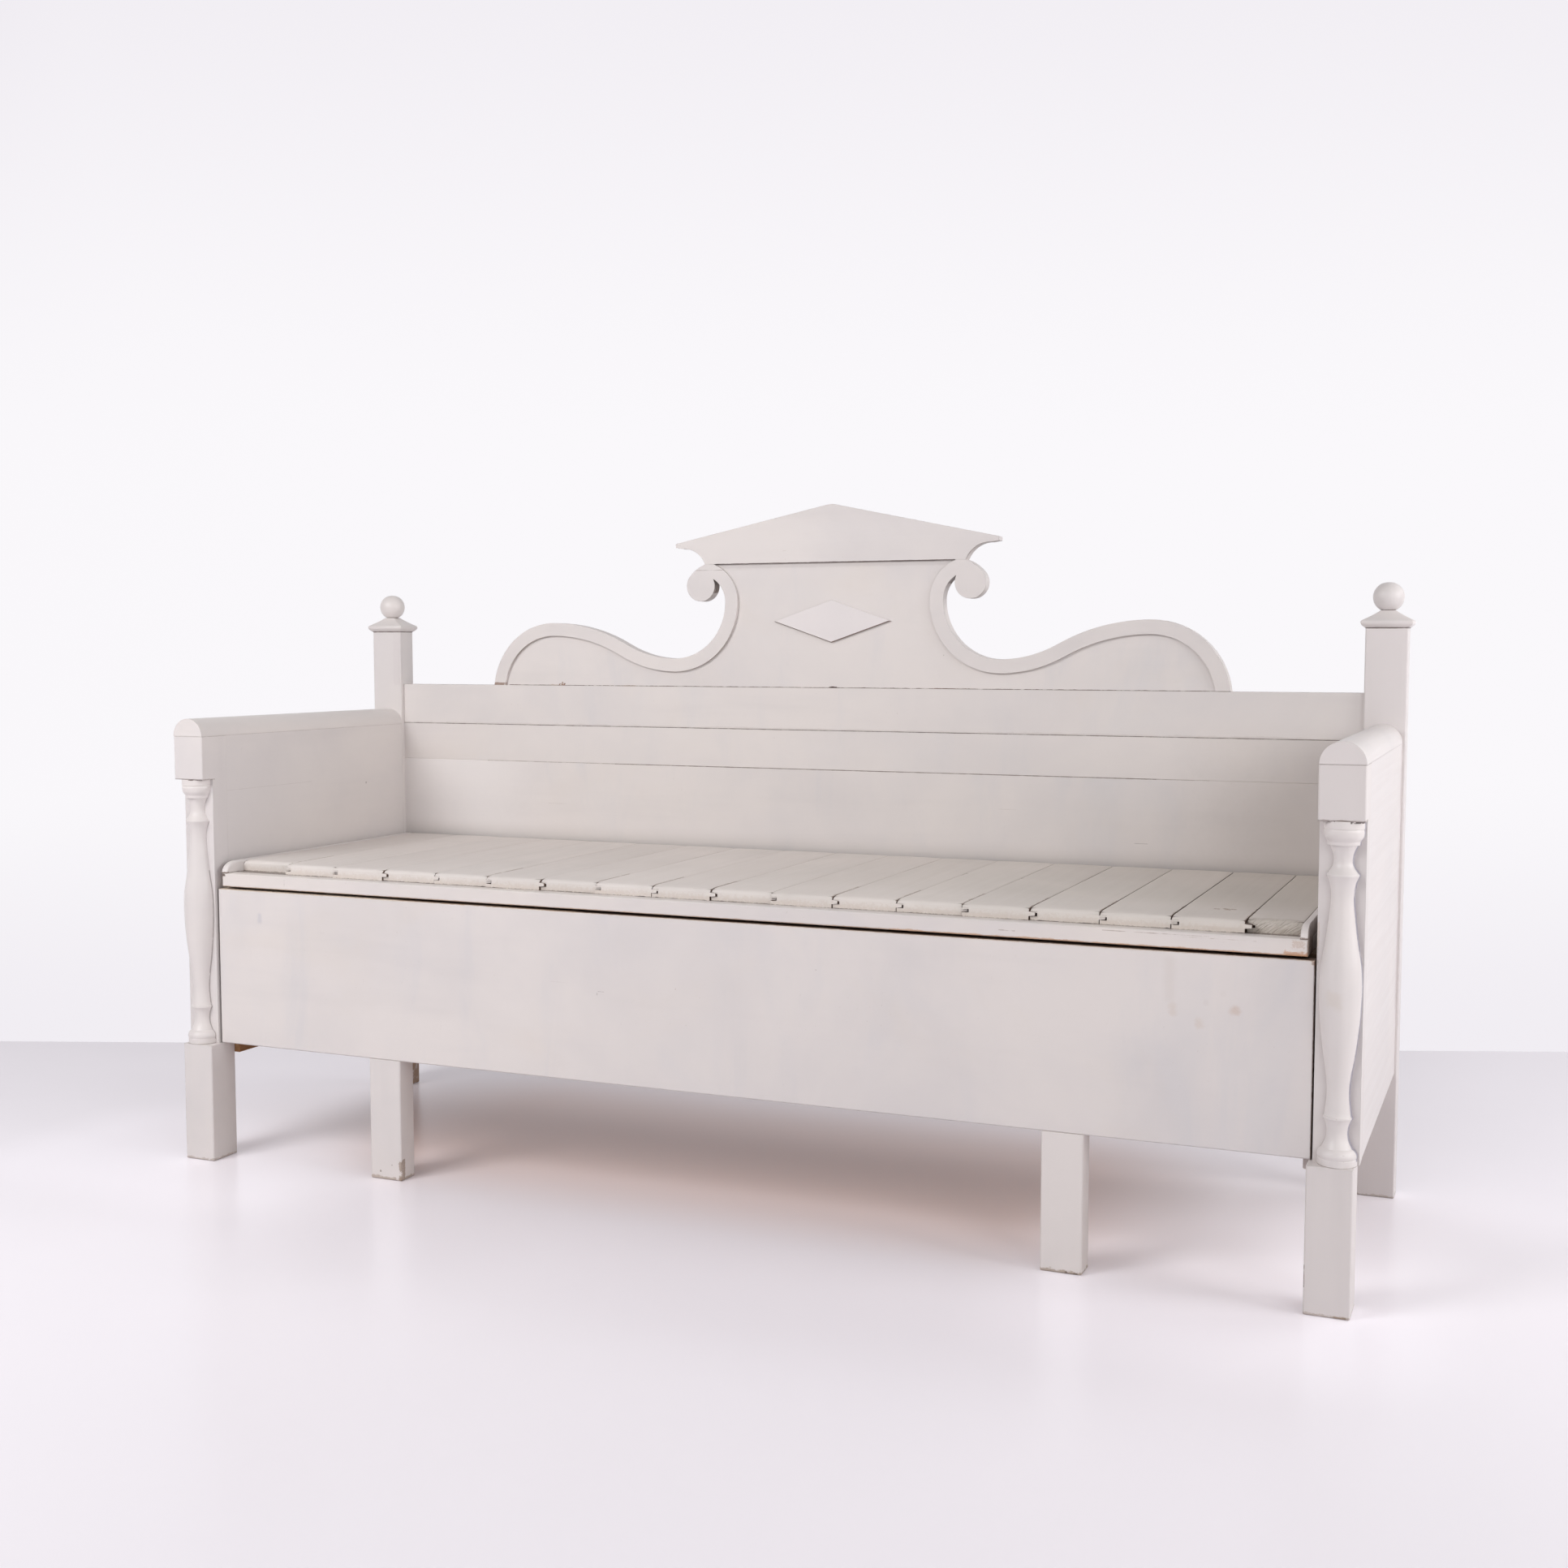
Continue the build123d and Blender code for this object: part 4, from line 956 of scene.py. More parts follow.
@dataclass
class PostCaps:
    """Moulded caps on the rear posts: a bullnose under a slightly hollow pyramid."""

    overhang: float = 0.007
    seat: float = 0.0105
    hollow: float = 0.0007
    hip: float = 0.0016
    # Heights above the post, with the reach there as a share of the overhang.
    bullnose: tuple[Pair, ...] = (
        (0.0, 0.03), (0.0006, 0.16), (0.002, 0.42), (0.0038, 0.7), (0.0056, 0.89), (0.0074, 0.98), (0.0088, 1.0),
        (0.0101, 0.96), (0.0112, 0.85), (0.012, 0.7))
    levels: int = 5
    crease: float = 38.0

    def rings(self, low: Vector, high: Vector) -> list[Triple]:
        """Levels of the cap with its half widths across and in depth.

        Args:
            low: Its lowest corner.
            high: Its highest corner.

        Returns:
            Height, half width and half depth of each level.
        """
        across, deep = (high[0] - low[0]) / 2, (high[1] - low[1]) / 2
        rings = [(low[2] + rise, across - self.overhang * (1.0 - share), deep - self.overhang * (1.0 - share))
                 for rise, share in self.bullnose]
        level, wide, depth = rings[-1]
        for step in range(1, self.levels + 1):
            t = step / self.levels
            sag = self.hollow * math.sin(math.pi * t)
            rings.append((level + (high[2] - level) * t - sag, wide + (self.seat - wide) * t,
                          depth + (self.seat - depth) * t))
        return rings

    def shape(self, name: str, low: Vector, high: Vector) -> Piece:
        """Raise one cap from the post's outline and round its corners.

        Args:
            name: Name of the piece.
            low: Its lowest corner.
            high: Its highest corner.

        Returns:
            The cap.
        """
        rings = self.rings(low, high)
        centre = (low[0] + high[0]) / 2, (low[1] + high[1]) / 2
        Hand.clear_selection()
        bpy.ops.mesh.primitive_plane_add(size=1.0, location=(*centre, rings[0][0]))
        piece = Hand.rename(name)
        piece.scale = (rings[0][1] * 2, rings[0][2] * 2, 1.0)
        Hand.settle(piece)
        bpy.ops.object.mode_set(mode="EDIT")
        bpy.ops.mesh.select_all(action="SELECT")
        for before, ring in zip(rings, rings[1:]):
            Hand.draw_out((0.0, 0.0, ring[0] - before[0]))
            bpy.ops.transform.resize(value=(ring[1] / before[1], ring[2] / before[2], 1.0),
                                     center_override=(*centre, ring[0]))
        Hand.pick_edges(piece, lambda a, b: abs(a.z - b.z) > ON_PLANE)
        bpy.ops.mesh.bevel(offset=self.hip, segments=3, affect="EDGES")
        bpy.ops.mesh.select_mode(type="VERT")
        Hand.close(piece)
        Hand.smooth(piece, self.crease)
        return piece

    def make(self, side: str, shift: Triple) -> Piece:
        """Shape and paint one cap.

        Args:
            side: Which post it stands on, left or right.
            shift: Offset of the paint's patterns.

        Returns:
            The cap.
        """
        name, node = f"rounded_post_cap_{side}", f"post_cap_{side}"
        low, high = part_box(node)
        piece = self.shape(name, low, high)
        joint = crack((low[0], low[1], low[2] - 0.001), (high[0], high[1], low[2] + 0.0006), (104, 90, 84), 0.9)
        paint = OilPaint(f"paint_{name}", shift=shift, gloss=0.38, relief=0.00014, arris=0.0, patches=(joint,))
        Hand.dress(piece, paint.material())
        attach(piece, "frame")
        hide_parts(node)
        return piece

    def build(self) -> list[Piece]:
        """Make both caps."""
        return [self.make("left", (0.1, 0.1, 0.3)), self.make("right", (0.6, 0.1, 0.3))]


Finish = OilPaint | BarePine | Iron


@dataclass
class DressedNodes:
    """Sub-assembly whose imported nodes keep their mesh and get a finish."""

    nodes: dict[str, Piece]

    def dress(self, finishes: dict[str, Finish]) -> list[Piece]:
        """Give each node its own finish.

        Args:
            finishes: Finish of each node, by the node's name.

        Returns:
            The nodes that were dressed.
        """
        for name, finish in finishes.items():
            Hand.dress(self.nodes[name], finish.material())
        return [self.nodes[name] for name in finishes]


@dataclass
class PaintedFrame(DressedNodes):
    """Finishes of the fixed frame, whose heights are those of joints and lower edges."""

    rail_foot: float = 0.704
    back_seam: float = 0.636
    crest_foot: float = 0.777
    pediment_foot: float = 0.992

    def foot(self, node: str) -> Patch:
        """Scuffs round the bottom of a post."""
        low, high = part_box(node)
        return Patch((low[0], low[1], -0.002), (high[0], high[1], 0.0022), (172, 156, 142), 0.0024, 0.0028, 0.6, 130.0)

    def front_posts(self) -> dict[str, OilPaint]:
        """Paint the front posts, with a fine line under the arm caps, worn blocks darkened along their lower edges
        partly as painted shade, scuffed feet, and the right post painted a little darker as painted shade.

        Returns:
            Paint of each post, by the post's name.
        """
        under_cap = (-1.0, -0.31, 0.7014), (1.0, -0.2, 0.702)
        block, leg = Face(-0.31, -0.27), Face(-0.3, -0.298)
        left = (
            crack(*under_cap, (168, 156, 150), 0.6),
            self.foot("front_post_left"),
            # Worn lower edge of the block, darkened partly as painted shade of the gap over the capital.
            block.mark((-0.934, 0.6305), (-0.87, 0.6318), (160, 148, 142), 0.0008, 0.0007, 0.6),
        )
        right = (
            crack(*under_cap, (140, 126, 122), 0.7),
            self.foot("front_post_right"),
            # Worn lower edge of the block, darkened partly as painted shade of the gap over the capital.
            block.mark((0.87, 0.6305), (0.934, 0.6322), (150, 136, 130), 0.001, 0.001, 0.7),
            leg.mark((0.87, 0.036), (0.8709, 0.064), (112, 92, 78), 0.0006, 0.0008, 0.9, 160.0),
            leg.mark((0.908, 0.0), (0.922, 0.0024), (150, 128, 108), 0.0016, 0.002, 0.8, 160.0),
            Patch((0.87, -0.276, 0.44), (0.8762, -0.2, 0.48), (150, 134, 124), 0.0012, 0.0016, 0.4, 120.0),
            Patch((0.875, -0.276, 0.47), (0.8775, -0.274, 0.5), (196, 170, 146), 0.001, 0.0014, 0.3, 200.0),
        )
        return {
            "front_post_left": OilPaint("paint_front_post_left", Grain.UPRIGHT, shift=(0.3, 0.1, 0.7), patches=left),
            # Painted shade: the right post is painted a little darker than the left, as the light falls off to the
            # right.
            "front_post_right": OilPaint("paint_front_post_right", Grain.UPRIGHT, colour=(216, 209, 207),
                                         shade=(208, 202, 201), shift=(1.3, 0.4, 0.2), patches=right),
        }

    def arms(self) -> dict[str, OilPaint]:
        """Paint the arms, with faint lines where the caps and panels meet.

        Returns:
            Paint of each cap and panel, by its name.
        """
        seam = crack((-1.0, -0.3, 0.7016), (1.0, 0.26, 0.702), (168, 157, 153), 0.36)
        split = crack((-0.8764, -0.255, 0.61), (-0.874, -0.02, 0.6103), (176, 166, 162), 0.28)
        speck = Patch((-0.877, 0.138, 0.596), (-0.874, 0.14, 0.5985), (120, 108, 104), 0.0012, 0.001, 0.8, 200.0)
        rear = Patch((0.93, 0.236, 0.3), (0.935, 0.25, 0.7), (176, 160, 156), 0.002, 0.004, 0.35, 30.0)
        return {
            "arm_cap_left": OilPaint("paint_arm_cap", Grain.DEPTH, shift=(0.9, 0.5, 0.2), gloss=0.38),
            "arm_cap_right": OilPaint("paint_arm_cap_right", Grain.DEPTH, shift=(0.2, 0.5, 0.2), gloss=0.38,
                                      colour=(220, 213, 211), shade=(212, 206, 205)),
            "arm_inner_panel_left": OilPaint("paint_arm_inner_left", Grain.DEPTH, shift=(0.3, 0.1, 0.7), arris=0.0,
                                             patches=(seam, split, speck)),
            "arm_inner_panel_right": OilPaint("paint_arm_inner_right", Grain.DEPTH, shift=(1.3, 0.4, 0.2), arris=0.0,
                                              patches=(seam,)),
            "arm_outer_panel_left": OilPaint("paint_arm_outer_left", Grain.DEPTH, shift=(0.7, 0.3, 0.1),
                                             patches=(seam,)),
            "arm_outer_panel_right": OilPaint("paint_arm_outer_right", Grain.DEPTH, shift=(0.4, 0.9, 0.6),
                                              colour=(220, 213, 211), relief=0.00006, patches=(seam, rear)),
        }

    def rear_posts(self) -> dict[str, OilPaint]:
        """Paint the rear posts, bare at the left foot's inner face, dark under the caps, and with painted light on the
        right foot's front.

        Returns:
            Paint of each post, by the post's name.
        """
        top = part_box("rear_post_left")[1][2]
        under_cap = crack((-1.0, 0.24, top - 0.0007), (1.0, 0.31, top + 0.001), (120, 106, 100), 0.85)
        left = (
            under_cap,
            self.foot("rear_post_left"),
            Patch((-0.8775, 0.24, -0.01), (-0.874, 0.31, 0.206), (152, 116, 86), 0.003, 0.003, 0.85),
            Patch((-0.89, 0.252, self.crest_foot), (-0.874, 0.256, 0.9), (206, 198, 198), 0.004, 0.002, 0.3),
        )
        right = (
            under_cap,
            self.foot("rear_post_right"),
            # Painted light: the right foot's front, which lies in shade, is lightened.
            Patch((0.86, 0.23, 0.012), (0.95, 0.244, 0.23), (238, 231, 232), 0.005, 0.0, 0.9),
        )
        return {
            "rear_post_left": OilPaint("paint_rear_post_left", Grain.UPRIGHT, shift=(0.8, 0.1, 0.4), patches=left),
            "rear_post_right": OilPaint("paint_rear_post_right", Grain.UPRIGHT, colour=(218, 211, 210),
                                        shift=(0.2, 0.6, 0.8), patches=right),
        }

    def back(self) -> dict[str, OilPaint]:
        """Paint the back's rail and boards, with open joints between them, painted shade in the right corner and along
        the seat, and painted light in the lower board's left corner.

        Returns:
            Paint of each rail and board, by its name.
        """
        rail_foot, seam = self.rail_foot, self.back_seam
        face, deep = Face(0.261, 0.264), Face(0.255, 0.265)
        faint, plain, dark = (158, 147, 142), (136, 122, 116), (104, 89, 82)
        # Painted shade in the right corner, beside the right arm.
        corner = deep.mark((0.8, 0.45), (0.9, 0.7), (196, 187, 181), 0.26, 0.02, 0.42)
        rail = (
            face.line((-0.876, rail_foot - 0.001), (0.876, rail_foot + 0.0002), dark, 0.85),
            face.mark((-0.876, rail_foot), (0.876, rail_foot + 0.0012), (190, 180, 174), 0.003, 0.002, 0.35, 40.0),
        )
        upper = (
            corner,
            face.line((-0.876, rail_foot - 0.0003), (0.876, rail_foot + 0.001), dark, 0.85),
            face.line((-0.42, seam - 0.001), (0.56, seam + 0.0003), plain, 0.8),
            face.line((-0.69, seam - 0.001), (0.644, seam + 0.0001), faint, 0.65),
        )
        lower = (
            # Painted light in the lower board's left corner.
            deep.mark((-0.9, 0.48), (-0.74, 0.62), (236, 231, 230), 0.22, 0.01, 0.62),
            corner,
            # Painted shade along the foot of the back, above the seat.
            Patch((-0.87, 0.255, 0.49), (0.87, 0.264, 0.497), (190, 180, 172), 0.03, 0.001, 0.22),
            face.line((-0.42, seam - 0.0004), (0.56, seam + 0.001), plain, 0.8),
            face.line((-0.69, seam - 0.0001), (0.644, seam + 0.001), faint, 0.65),
            face.line((0.527, 0.5315), (0.548, 0.5317), (150, 140, 138), 0.5),
            face.line((0.3, 0.579), (0.33, 0.5791), (186, 176, 170), 0.4),
            face.line((-0.56, 0.56), (-0.52, 0.5601), (186, 176, 170), 0.4),
        )
        return {
            "back_top_rail": OilPaint("paint_top_rail", shift=(0.6, 0.3, 0.5), smudge=0.18, patches=rail),
            "back_upper_board": OilPaint("paint_back_upper", shift=(0.3, 0.8, 0.1), smudge=0.16, arris=0.0,
                                         patches=upper),
            "back_lower_board": OilPaint("paint_back_lower", shift=(0.9, 0.2, 0.6), smudge=0.22, arris=0.0,
                                         patches=lower),
        }

    def crest(self) -> dict[str, OilPaint]:
        """Paint the crest, with painted shade under its edges and below the pediment, dark brown in its eyes, and chips
        along its foot.

        Returns:
            Paint of each layer, by its name.
        """
        foot, lower = self.crest_foot, self.pediment_foot
        face, ground, hollow = Face(0.259, 0.272), Face(0.2675, 0.2705), Face(0.2662, 0.3)
        eye_left = hollow.mark((-0.223, 0.94), (-0.208, 0.968), (100, 76, 60), 0.0016, 0.0006, 0.92)
        eye_right = hollow.mark((0.209, 0.946), (0.224, 0.97), (100, 78, 64), 0.0016, 0.0006, 0.92)
        board = (
            face.line((-0.645, foot - 0.001), (0.66, foot + 0.0006), (106, 86, 76), 0.95, 0.0007),
            face.mark((-0.539, foot), (-0.527, foot + 0.003), (128, 90, 66), 0.0016, 0.0024, 0.95, 150.0),
            face.mark((-0.533, foot), (-0.531, foot + 0.0052), (150, 120, 98), 0.001, 0.002, 0.8, 150.0),
            face.mark((-0.56, foot), (-0.542, foot + 0.0014), (190, 172, 158), 0.001, 0.0016, 0.7, 150.0),
            face.mark((-0.005, foot), (0.0085, foot + 0.0018), (66, 42, 32), 0.001, 0.0012, 0.97, 150.0),
            face.mark((-0.41, foot), (-0.38, foot + 0.0006), (150, 120, 100), 0.0008, 0.001, 0.7, 150.0),
            face.mark((0.18, foot), (0.24, foot + 0.0006), (120, 92, 76), 0.0008, 0.0009, 0.8, 150.0),
            replace(eye_left, low=(-0.223, ground.far, 0.94), soft=0.0008),
            replace(eye_right, low=(0.209, ground.far, 0.946), soft=0.0008),
            # Painted shadow below the pediment on the ground: a dark line and a soft grey band.
            ground.line((-0.22, lower - 0.0009), (0.222, lower + 0.002), (110, 96, 90), 0.8),
            ground.mark((-0.22, lower - 0.006), (0.222, lower + 0.002), (190, 182, 180), 0.004, 0.001, 0.4),
            ground.line((0.2, 0.833), (0.2008, 0.8338), (150, 138, 132), 0.7),
            ground.line((-0.7, 0.9817), (-0.15, 0.9819), (200, 190, 184), 0.45),
        )
        scroll_left = (
            eye_left,
            face.mark((-0.676, foot - 0.001), (-0.64, foot + 0.0042), (134, 102, 82), 0.001, 0.001, 0.8, 120.0),
            face.line((-0.262, 0.9817), (-0.2, 0.9819), (158, 146, 140), 0.75),
        )
        scroll_right = (
            eye_right,
            face.line((0.63, foot - 0.001), (0.68, foot + 0.0006), (116, 98, 88), 0.9),
        )
        pediment = (
            # Painted shade along the pediment's lower edge.
            face.line((-0.2185, lower - 0.002), (0.22, lower + 0.00045), (104, 90, 84), 0.9),
            face.line((-0.09, 1.0128), (-0.084, 1.0129), (196, 184, 176), 0.6),
            face.mark((-0.3, 1.0), (-0.286, 1.016), (186, 172, 162), 0.002, 0.002, 0.5, 120.0),
            hollow.mark((0.24, 0.994), (0.3, 1.022), (158, 148, 144), 0.0014, 0.0006, 0.6),
        )
        return {
            "crest_board": OilPaint("paint_crest_board", shift=(0.2, 0.4, 0.4), under=0.35, smudge=0.26, patches=board),
            "crest_scroll_left": OilPaint("paint_scroll_left", shift=(0.4, 0.4, 0.1), relief=0.00014, under=0.6,
                                          patches=scroll_left),
            "crest_scroll_right": OilPaint("paint_scroll_right", shift=(0.7, 0.1, 0.3), relief=0.00014, under=0.6,
                                           patches=scroll_right),
            "crest_pediment": OilPaint("paint_pediment", shift=(0.5, 0.6, 0.8), under=0.5, patches=pediment),
            "crest_lozenge": OilPaint("paint_lozenge", shift=(0.8, 0.2, 0.2), under=1.0, arris=0.0006,
                                      colour=(230, 223, 222), shade=(223, 217, 217)),
        }

    def hidden(self) -> dict[str, Finish]:
        """Leave the hidden timber bare, and the pins in iron.

        Returns:
            Finish of each unpainted node, by its name.
        """
        return {
            "side_rails": BarePine("pine_side_rails", Grain.DEPTH, washed=0.0),
            "seat_cleats": BarePine("pine_seat_cleats", Grain.DEPTH, light=(112, 88, 66), dark=(78, 58, 42)),
            "back_bottom_rail": BarePine("pine_back_bottom_rail"),
            "fixed_slats": BarePine("pine_fixed_slats", Grain.DEPTH),
            "slat_bearers": BarePine("pine_slat_bearers"),
            "lid_pivot_pins": Iron(),
        }

    def build(self) -> list[Piece]:
        """Finish every node of the frame."""
        return self.dress({**self.front_posts(), **self.arms(), **self.rear_posts(), **self.back(), **self.crest(),
                           **self.hidden()})


@dataclass
class PullOutBed(DressedNodes):
    """Finishes of the bed that slides out: front board, legs and slatted bottom."""

    def front_board(self) -> OilPaint:
        """Paint the front board, with stains, scratches and its dark ends, and its upper edge darkened partly as
        painted shade.

        Returns:
            The board's paint.
        """
        low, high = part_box("bed_front_board")
        face = Face(low[1] - 0.001, low[1] + 0.002)
        top = low[0], low[1] + 0.0016, high[2] - 0.0005
        stain, scratch, peck = (200, 178, 160), (150, 138, 134), (140, 126, 118)
        surface = (
            face.mark((0.6935, 0.37), (0.695, 0.377), stain, 0.008, 0.0034, 0.25, 70.0),
            face.mark((0.728, 0.356), (0.7295, 0.359), stain, 0.009, 0.0034, 0.27, 70.0),
            face.mark((0.774, 0.378), (0.7755, 0.38), (194, 166, 150), 0.009, 0.0032, 0.44, 80.0),
            face.mark((0.7365, 0.385), (0.739, 0.388), (200, 188, 182), 0.005, 0.0012, 0.18, 60.0),
            face.mark((0.758, 0.398), (0.76, 0.4), (204, 192, 186), 0.005, 0.001, 0.12, 60.0),
            face.mark((-0.79, 0.401), (-0.7885, 0.411), (182, 180, 190), 0.006, 0.0012, 0.38, 60.0),
            face.mark((0.6895, 0.39), (0.6905, 0.438), (206, 196, 190), 0.012, 0.0016, 0.28, 60.0),
            face.line((-0.162, 0.3325), (-0.152, 0.3328), scratch, 0.55),
            face.line((-0.164, 0.327), (-0.1632, 0.33), scratch, 0.5),
            face.line((-0.244, 0.342), (-0.215, 0.3421), (196, 186, 182), 0.4),
            face.line((-0.67, 0.39), (-0.66, 0.3901), (200, 192, 188), 0.4),
            face.line((0.19, 0.39), (0.1905, 0.3905), peck, 0.6),
            face.line((0.43, 0.34), (0.4304, 0.3404), peck, 0.6),
            face.mark((low[0], 0.4492), (high[0], 0.4515), (204, 182, 158), 0.0008, 0.0009, 0.35, 70.0),
        )
        # The upper edge is dark wood at the right, its darkness partly painted shade of the gap under the lid rail, and
        # more and more paint towards the left.
        edge = tuple(Patch(top, (end, high[1] + 0.001, high[2] + 0.001), colour, 0.0008, ragged, strength)
                     for end, colour, ragged, strength in ((high[0], (122, 94, 74), 0.0004, 0.94),
                                                           (-0.2, (176, 150, 128), 0.0012, 0.85),
                                                           (-0.52, (226, 208, 190), 0.0012, 0.92)))
        ends = (
            Patch((high[0] - 0.0006, low[1] + 0.001, low[2]), (high[0] + 0.001, high[1] + 0.001, high[2]),
                  (92, 70, 56), 0.0006, 0.0004, 0.92),
            Patch((low[0] - 0.001, low[1] + 0.001, low[2]), (low[0] + 0.0006, high[1] + 0.001, high[2]),
                  (110, 90, 76), 0.0006, 0.0004, 0.85),
            face.mark((high[0] - 0.004, 0.445), (high[0] + 0.001, 0.452), (150, 120, 96), 0.0016, 0.0022, 0.7, 150.0),
        )
        return OilPaint("paint_front_board", shift=(0.1, 0.3, 0.9), smudge=0.24, patches=surface + edge + ends)

    def legs(self) -> dict[str, OilPaint]:
        """Paint the middle legs, with scuffed feet and small knocks.

        Returns:
            Paint of each leg, by the leg's name.
        """
        face = Face(-0.273, -0.27)
        left = (
            Patch((-0.579, -0.273, -0.002), (-0.519, -0.23, 0.003), (166, 148, 132), 0.003, 0.0034, 0.7, 130.0),
            Patch((-0.523, -0.273, 0.0), (-0.519, -0.262, 0.033), (150, 128, 110), 0.0018, 0.003, 0.75, 150.0),
            face.mark((-0.56, 0.012), (-0.559, 0.0135), (120, 98, 84), 0.001, 0.001, 0.8, 200.0),
            face.mark((-0.538, 0.024), (-0.5372, 0.025), (120, 98, 84), 0.001, 0.001, 0.8, 200.0),
        )
        right = (
            Patch((0.519, -0.273, -0.002), (0.579, -0.23, 0.0026), (160, 140, 122), 0.0026, 0.0032, 0.75, 130.0),
            face.mark((0.556, 0.0), (0.572, 0.0026), (96, 74, 60), 0.001, 0.0022, 0.8, 150.0),
        )
        return {
            "middle_leg_left": OilPaint("paint_middle_leg_left", Grain.UPRIGHT, shift=(0.4, 0.3, 0.2), patches=left),
            "middle_leg_right": OilPaint("paint_middle_leg_right", Grain.UPRIGHT, shift=(0.2, 0.8, 0.5), patches=right),
        }

    def build(self) -> list[Piece]:
        """Paint the front board and legs and leave the rest bare.

        Returns:
            The nodes that were dressed.
        """
        bare = {"bed_side_left": Grain.DEPTH, "bed_side_right": Grain.DEPTH, "bed_slats": Grain.DEPTH,
                "bed_bearer": Grain.ACROSS, "bed_stop_batten": Grain.ACROSS}
        return self.dress({"bed_front_board": self.front_board(), **self.legs(),
                           **{name: BarePine(f"pine_{name}", grain) for name, grain in bare.items()}})


def fade(distance: float, reach: float) -> float:
    """Share that falls from one at no distance to nought at the reach, and stays there."""
    return max(0.0, 1.0 - distance / reach)


@dataclass(frozen=True)
class Seam:
    """Joint between two seat boards: its width at the top in metres, and the share of dark wood that shows in it."""

    gap: float
    dark: float

    def colour(self) -> Colour:
        """Colour inside the joint, 0-255."""
        filled, open_wood = (160, 144, 132), (78, 58, 47)
        return tuple(a + (b - a) * self.dark for a, b in zip(filled, open_wood))


@dataclass(frozen=True)
class BoardWear:
    """How one seat board is worn, with the joints on its left and right and its own pattern of noise."""

    number: int
    left: Seam
    right: Seam
    rough: float

    def lump(self, x: float, y: float, z: float) -> float:
        """Noise of the board's own pattern at a point, from about minus one to one."""
        return noise.noise(Vector((x, y, z)) + Vector((0.0, 0.0, 7.3 * self.number)))


